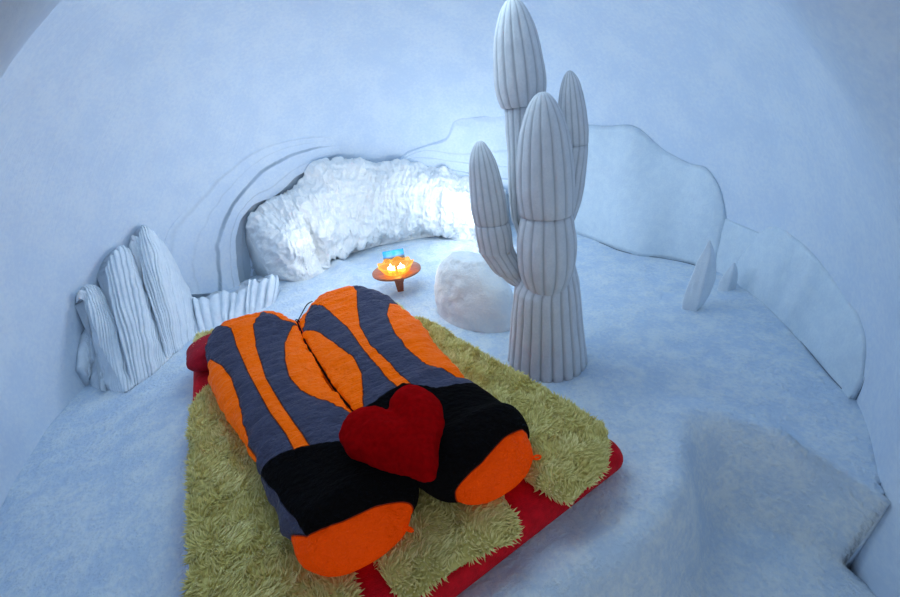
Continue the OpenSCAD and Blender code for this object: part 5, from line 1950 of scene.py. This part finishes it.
@dataclass
class CandleTable:
    """Little round table with a glass dish of candles and a card in a clear holder."""

    at: Spot = (-0.095, 0.5)
    turn: float = math.radians(-5)
    top_z: float = 0.59
    top_r: float = 0.187
    top_t: float = 0.015
    dish_at: Spot = (0.0, -0.045)
    dish_r: float = 0.14
    dish_h: float = 0.072
    droop: float = 0.12

    def stand(self, points: np.ndarray) -> np.ndarray:
        """Turns and moves points from the table's own place."""
        return turned_to(points, self.at, self.turn)

    def turned(self, name: str, profile: Pairs, sides: int, middle: Spot,
               wave: float = 0.0, lobes: int = 0) -> Piece:
        """Turned body from a profile of (radius, height), with an optional wavy rim.

        Args:
            name: Name of the object.
            profile: Points from the middle below to the middle above.
            sides: Steps round it.
            middle: Its axis on the table.
            wave: Depth of the rim's waves, as a share of the radius.
            lobes: Waves round the rim.

        Returns:
            The new object.
        """
        turn = full_turn(sides)
        top = max(z for _, z in profile)
        low = min(z for _, z in profile)
        rings = []
        for r, z in profile:
            share = ((z - low) / (top - low)) ** 1.5
            reach = r * (1 + wave * share * np.cos(lobes * turn))
            level = z - self.droop * wave * share * (1 - np.cos(lobes * turn))
            rings.append(around(turn, reach, level) + (*middle, 0.0))
        return loft(name, self.stand(np.array(rings)))

    def build(self, wardrobe: Wardrobe) -> None:
        """Builds the table and all that stands on it."""
        z, r, t = self.top_z, self.top_r, self.top_t
        bevel = 0.003
        profile = ((0.02, z - t), (r - bevel, z - t), (r, z - t + bevel), (r, z - bevel), (r - bevel, z),
                   (r * 0.6, z), (0.02, z))
        top = self.turned("table_board", profile, 128, (0.0, 0.0))
        finish_piece(top, wardrobe.wood, ("table_top",))
        self._leg(wardrobe)
        dish = self.turned("wavy_dish", self._dish_profile(), 160, self.dish_at, 0.05, 9)
        finish_piece(dish, wardrobe.glass, ("glass_dish",))
        self._candles(wardrobe)
        self._card(wardrobe)

    def _dish_profile(self) -> list[Spot]:
        """Profile of the dish: out along its underside, over the rim and back inside."""
        z, r, h, wall = self.top_z, self.dish_r * 0.95, self.dish_h, 0.005
        rise = np.linspace(0, 1, 12)
        outside = [(r * (0.6 + 0.4 * u ** 0.6), z + h * u) for u in rise]
        inside = [(max(0.01, rr - wall), max(z + wall, zz)) for rr, zz in outside[::-1]]
        return [(0.005, z), *outside, *inside, (0.005, z + wall)]

    def _leg(self, wardrobe: Wardrobe) -> None:
        """Cross board that carries the table top."""
        tall = self.top_z - self.top_t - PLATFORM
        outline = np.array([(-0.022, 0), (0.024, 0), (0.034, tall * 0.45), (0.078, tall), (-0.038, tall)])
        half, bevel, middle = 0.013, 0.003, outline.mean(0)
        rings = []
        for y, inset in ((-half, bevel), (-half + bevel, 0.0), (half - bevel, 0.0), (half, bevel)):
            x, z = (middle + (outline - middle) * (1 - inset / 0.05)).T
            rings.append(np.stack([x, np.full(len(x), y), np.clip(z, 0, tall) + PLATFORM], 1))
        leg = loft("table_foot", self.stand(np.array(rings)), smooth=False)
        finish_piece(leg, wardrobe.wood, ("table_leg",))

    def _candles(self, wardrobe: Wardrobe) -> None:
        """Two stout candles with flames, and sweets between them."""
        base = self.top_z + 0.006
        spread, skew = 0.038, -0.008
        stub = ((0.004, 0), (0.027, 0), (0.028, 0.002), (0.028, 0.031), (0.026, 0.034), (0.012, 0.029),
                (0.003, 0.028))
        blaze = ((0.001, 0.03), (0.005, 0.036), (0.0065, 0.043), (0.004, 0.054), (0.0008, 0.062))
        wax, flames, sweets = [], [], []
        middles = [(self.dish_at[0] + spread * side, self.dish_at[1] + skew * side) for side in (-1, 1)]
        for middle in middles:
            for parts, name, profile, sides in ((wax, "wax", stub, 40), (flames, "flame", blaze, 16)):
                parts.append(self.turned(name, [(r, base + z) for r, z in profile], sides, middle))
        finish_piece(join_meshes("candles_lit", wax), wardrobe.wax, ("candles",))
        finish_piece(join_meshes("flames", flames), wardrobe.flame)
        chance = np.random.default_rng(5)
        ball = [(max(0.001, 0.011 * math.sin(q)), base + 0.009 - 0.009 * math.cos(q))
                for q in np.linspace(0.06, math.pi - 0.06, 9)]
        for _ in range(9):
            turn, reach = chance.uniform(0, 2 * math.pi), chance.uniform(0.045, 0.072)
            place = (self.dish_at[0] + reach * math.cos(turn), self.dish_at[1] + 0.8 * reach * math.sin(turn))
            if min(math.dist(place, middle) for middle in middles) >= 0.04:
                sweets.append(self.turned("sweet", ball, 16, place))
        finish_piece(join_meshes("wrapped_sweets", sweets), wardrobe.sweets)

    def _box(self, name: str, low: Point, high: Point, round_off: float = 0.0015) -> Piece:
        """Upright slab on the table with softened edges."""
        corners = np.array(list(product(*zip(low, high))))
        faces = [(0, 1, 3, 2), (4, 6, 7, 5), (0, 4, 5, 1), (2, 3, 7, 6), (0, 2, 6, 4), (1, 5, 7, 3)]
        piece = clean_mesh(mesh_object(name, self.stand(corners), faces, smooth=False))
        bevel = piece.modifiers.new("edges", "BEVEL")
        bevel.width, bevel.segments = round_off, 2
        return bake_modifiers(piece)

    def _card(self, wardrobe: Wardrobe) -> None:
        """Clear upright holder with its card."""
        z = self.top_z
        plate = self._box("holder_plate", (-0.125, 0.1, z), (0.125, 0.108, z + 0.15))
        foot = self._box("holder_foot", (-0.065, 0.082, z), (0.065, 0.1001, z + 0.006))
        holder = join_meshes("clear_holder", [plate, foot])
        finish_piece(holder, wardrobe.acrylic, ("card_holder",))
        card = self._box("card", (-0.082, 0.097, z + 0.03), (0.082, 0.0998, z + 0.125), 0.0006)
        finish_piece(card, wardrobe.print, ("picture_card",))


@dataclass(frozen=True)
class Bank:
    """Bank of snow along the wall: rows of (azimuth, front radius at the foot, height)."""

    name: str
    node: str
    rows: Rows
    bulge: float = 0.0


@dataclass
class WallBanks:
    """Smooth banks along the right wall, with thin crisp upper edges."""

    lip: float = 0.014
    gap: float = 0.003
    banks: tuple[Bank, ...] = (
        Bank("bank_behind_cactus", "mesa_behind_cactus",
             ((-9.6, 2.04, 0.38), (-8.6, 2.03, 0.533), (-7.0, 2.015, 0.638), (-1.0, 1.95, 0.715),
              (4.6, 1.82, 0.793), (10.6, 1.79, 0.953), (18.0, 1.84, 0.968), (26.0, 1.92, 0.983),
              (34.0, 1.99, 0.9))),
        Bank("bank_low", "mesa_low", ((-19.0, 2.064, 0.366), (-13.0, 2.058, 0.372), (-9.4, 2.052, 0.38))),
        Bank("bank_right", "mesa_right",
             ((-46.5, 2.075, 0.09), (-45.0, 2.066, 0.212), (-42.4, 2.046, 0.292), (-38.3, 2.03, 0.32),
              (-32.3, 2.022, 0.383), (-26.4, 2.025, 0.433), (-20.5, 2.03, 0.433), (-17.4, 2.035, 0.34)),
             2.6))

    def build(self, wardrobe: Wardrobe) -> None:
        """Builds and dresses every bank."""
        for number, bank in enumerate(self.banks):
            azimuths, feet, heights = zip(*bank.rows)
            along = np.linspace(azimuths[0], azimuths[-1], 80)[:, None]
            foot, tall = (curve_at(along[:, 0], azimuths, column)[:, None] for column in (feet, heights))
            rise = np.linspace(0, 1, 20)
            h = tall * rise
            front = foot + (room_r_at(tall) - self.lip - foot) * rise ** 1.3
            front = np.minimum(front, room_r_at(h) - 0.008)
            last = smooth_step(along, azimuths[0], azimuths[-1]) ** 6
            angle = np.radians(along + bank.bulge * last * np.sin(math.pi * np.clip(rise, 0, 0.9) ** 0.7))
            faces = [around(angle, r, h + PLATFORM) for r in (front, room_r_at(h) - self.gap)]
            piece = loft(bank.name, np.concatenate([faces[0], faces[1][:, ::-1]], 1))
            p = points_of(piece)
            calm = smooth_step(room_r_at(p[:, 2] - PLATFORM) - np.hypot(p[:, 0], p[:, 1]), 0.006, 0.02)
            push(piece, p, 0.004 * SmoothNoise(number + 21).layered(p, 0.16, 3) * calm)
            finish_piece(piece, wardrobe.carved, (bank.node,))


@dataclass(frozen=True)
class Blade:
    """Thin upright blade: rows of (share of the height, left edge, front ridge, right edge)."""

    name: str
    node: str
    at: Spot
    height: float
    rows: Rows
    thickness: float


@dataclass
class SnowBlades:
    """Two blades of snow on the platform at the right, finely ribbed along their height."""

    turn: float = math.radians(-16.6)
    blades: tuple[Blade, ...] = (
        Blade("tall_blade", "blade_tall", (1.551, -0.688), 0.43,
              ((0, -0.121, -0.059, -0.006), (0.17, -0.122, -0.055, 0.025), (0.32, -0.112, -0.051, 0.04),
               (0.46, -0.102, -0.047, 0.044), (0.6, -0.09, -0.045, 0.035), (0.75, -0.078, -0.036, 0.019),
               (0.89, -0.052, -0.028, -0.004), (1, -0.035, -0.032, -0.029)), 0.058),
        Blade("small_blade", "blade_small", (1.84, -0.59), 0.19,
              ((0, -0.058, -0.01, 0.062), (0.4, -0.05, 0.0, 0.062), (0.75, -0.018, 0.012, 0.045),
               (1, 0.01, 0.016, 0.022)), 0.04))

    def build(self, wardrobe: Wardrobe) -> None:
        """Builds and dresses both blades."""
        for number, blade in enumerate(self.blades):
            rise = np.linspace(0, 1, 50)
            levels, *columns = zip(*blade.rows)
            left, ridge, right = (curve_at(rise, levels, column) for column in columns)
            deep = blade.thickness * np.minimum(1, (right - left) / 0.15)
            corners = np.stack([np.stack(corner, 1) for corner in (
                (left, 0 * deep), (ridge, -deep), (right, -0.15 * deep), ((left + right) / 2, deep))], 1)
            share = np.linspace(0, 4, 72, endpoint=False)
            first = share.astype(int)
            start, end = corners[:, first], corners[:, (first + 1) % 4]
            ring = start + (end - start) * (share % 1)[:, None]
            ring = sum(np.roll(ring, k - 4, axis=1) * w for k, w in enumerate(softened(9)))
            z = np.broadcast_to((rise * blade.height)[:, None], ring.shape[:2])
            rings = np.stack([ring[..., 0], ring[..., 1], z], -1)
            piece = loft(blade.name, turned_to(rings, blade.at, self.turn, PLATFORM))
            p, noise = points_of(piece), SmoothNoise(number + 26)
            ribs = noise.at(p, (0.014, 0.014, 0.2)) + 0.8 * noise.at(p + 5, (0.05, 0.05, 0.12))
            fade = smooth_step(PLATFORM + blade.height - p[:, 2], 0.0, 0.03)
            push(piece, p, 0.0022 * ribs * fade, PLATFORM)
            finish_piece(piece, wardrobe.fluted, (blade.node,))


@dataclass
class PaintedShadowLines:
    """Painted shadow: dark hairlines along the foot of the slabs at the right wall, standing in for their
    contact shadow.
    """

    gaps: tuple[Rows, ...] = (
        ((-18.5, 2.046, 0.0), (-22, 2.036, 0.0), (-27, 2.031, 0.0), (-33, 2.026, 0.0), (-38.5, 2.03, 0.0),
         (-42.4, 2.045, 0.0), (-45, 2.065, 0.0)),
        ((-46.65, 2.094, 0.0), (-46.6, 2.094, 0.09), (-45.6, 2.09, 0.18), (-44.6, 2.087, 0.235)),
        ((-8, 2.02, 0.0), (-4, 1.978, 0.0), (1, 1.893, 0.0), (6, 1.806, 0.0), (11, 1.786, 0.0),
         (18, 1.836, 0.0)))

    def build(self, wardrobe: Wardrobe) -> None:
        """Builds the painted shadow as thin dark lines, half sunk in the snow."""
        lines = []
        for rows in self.gaps:
            s = np.linspace(0, 1, 60)
            angle, r, z = (curve_at(s, np.linspace(0, 1, len(rows)), column) for column in zip(*rows))
            lines.append(tube("gap", around(np.radians(angle), r, z + PLATFORM + 0.01), 0.0022))
        finish_piece(join_meshes("shadow_gaps", lines), wardrobe.gap)


def main() -> None:
    """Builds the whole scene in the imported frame."""
    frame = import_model()
    LOG.info("frame of %d nodes", len(frame["nodes"]))
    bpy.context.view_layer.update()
    scene = bpy.context.scene
    scene.view_settings.view_transform = "Standard"
    DoorwayCamera().place()
    Studio().build()
    wardrobe = Wardrobe()
    for part in (SnowShell(), SnowFloor(), Cactus(), FlutedColumns(), ShaggyRidge(), WallTerraces(),
                 ridge_mesa(), SnowBoulder(), WallBanks(), SnowBlades(), PaintedShadowLines()):
        part.build(wardrobe)
    bed = BedFrame()
    bags = SleepingBags()
    Mattress().build(bed, wardrobe)
    Sheepskins().build(bed, [bags.outline(bags.left), bags.outline(bags.right)], wardrobe)
    bags.build(bed, wardrobe)
    Pillows().build(bed, wardrobe)
    CandleTable().build(wardrobe)


if __name__ == "__main__":
    logging.basicConfig(level=logging.INFO, format="%(name)s: %(message)s")
    main()
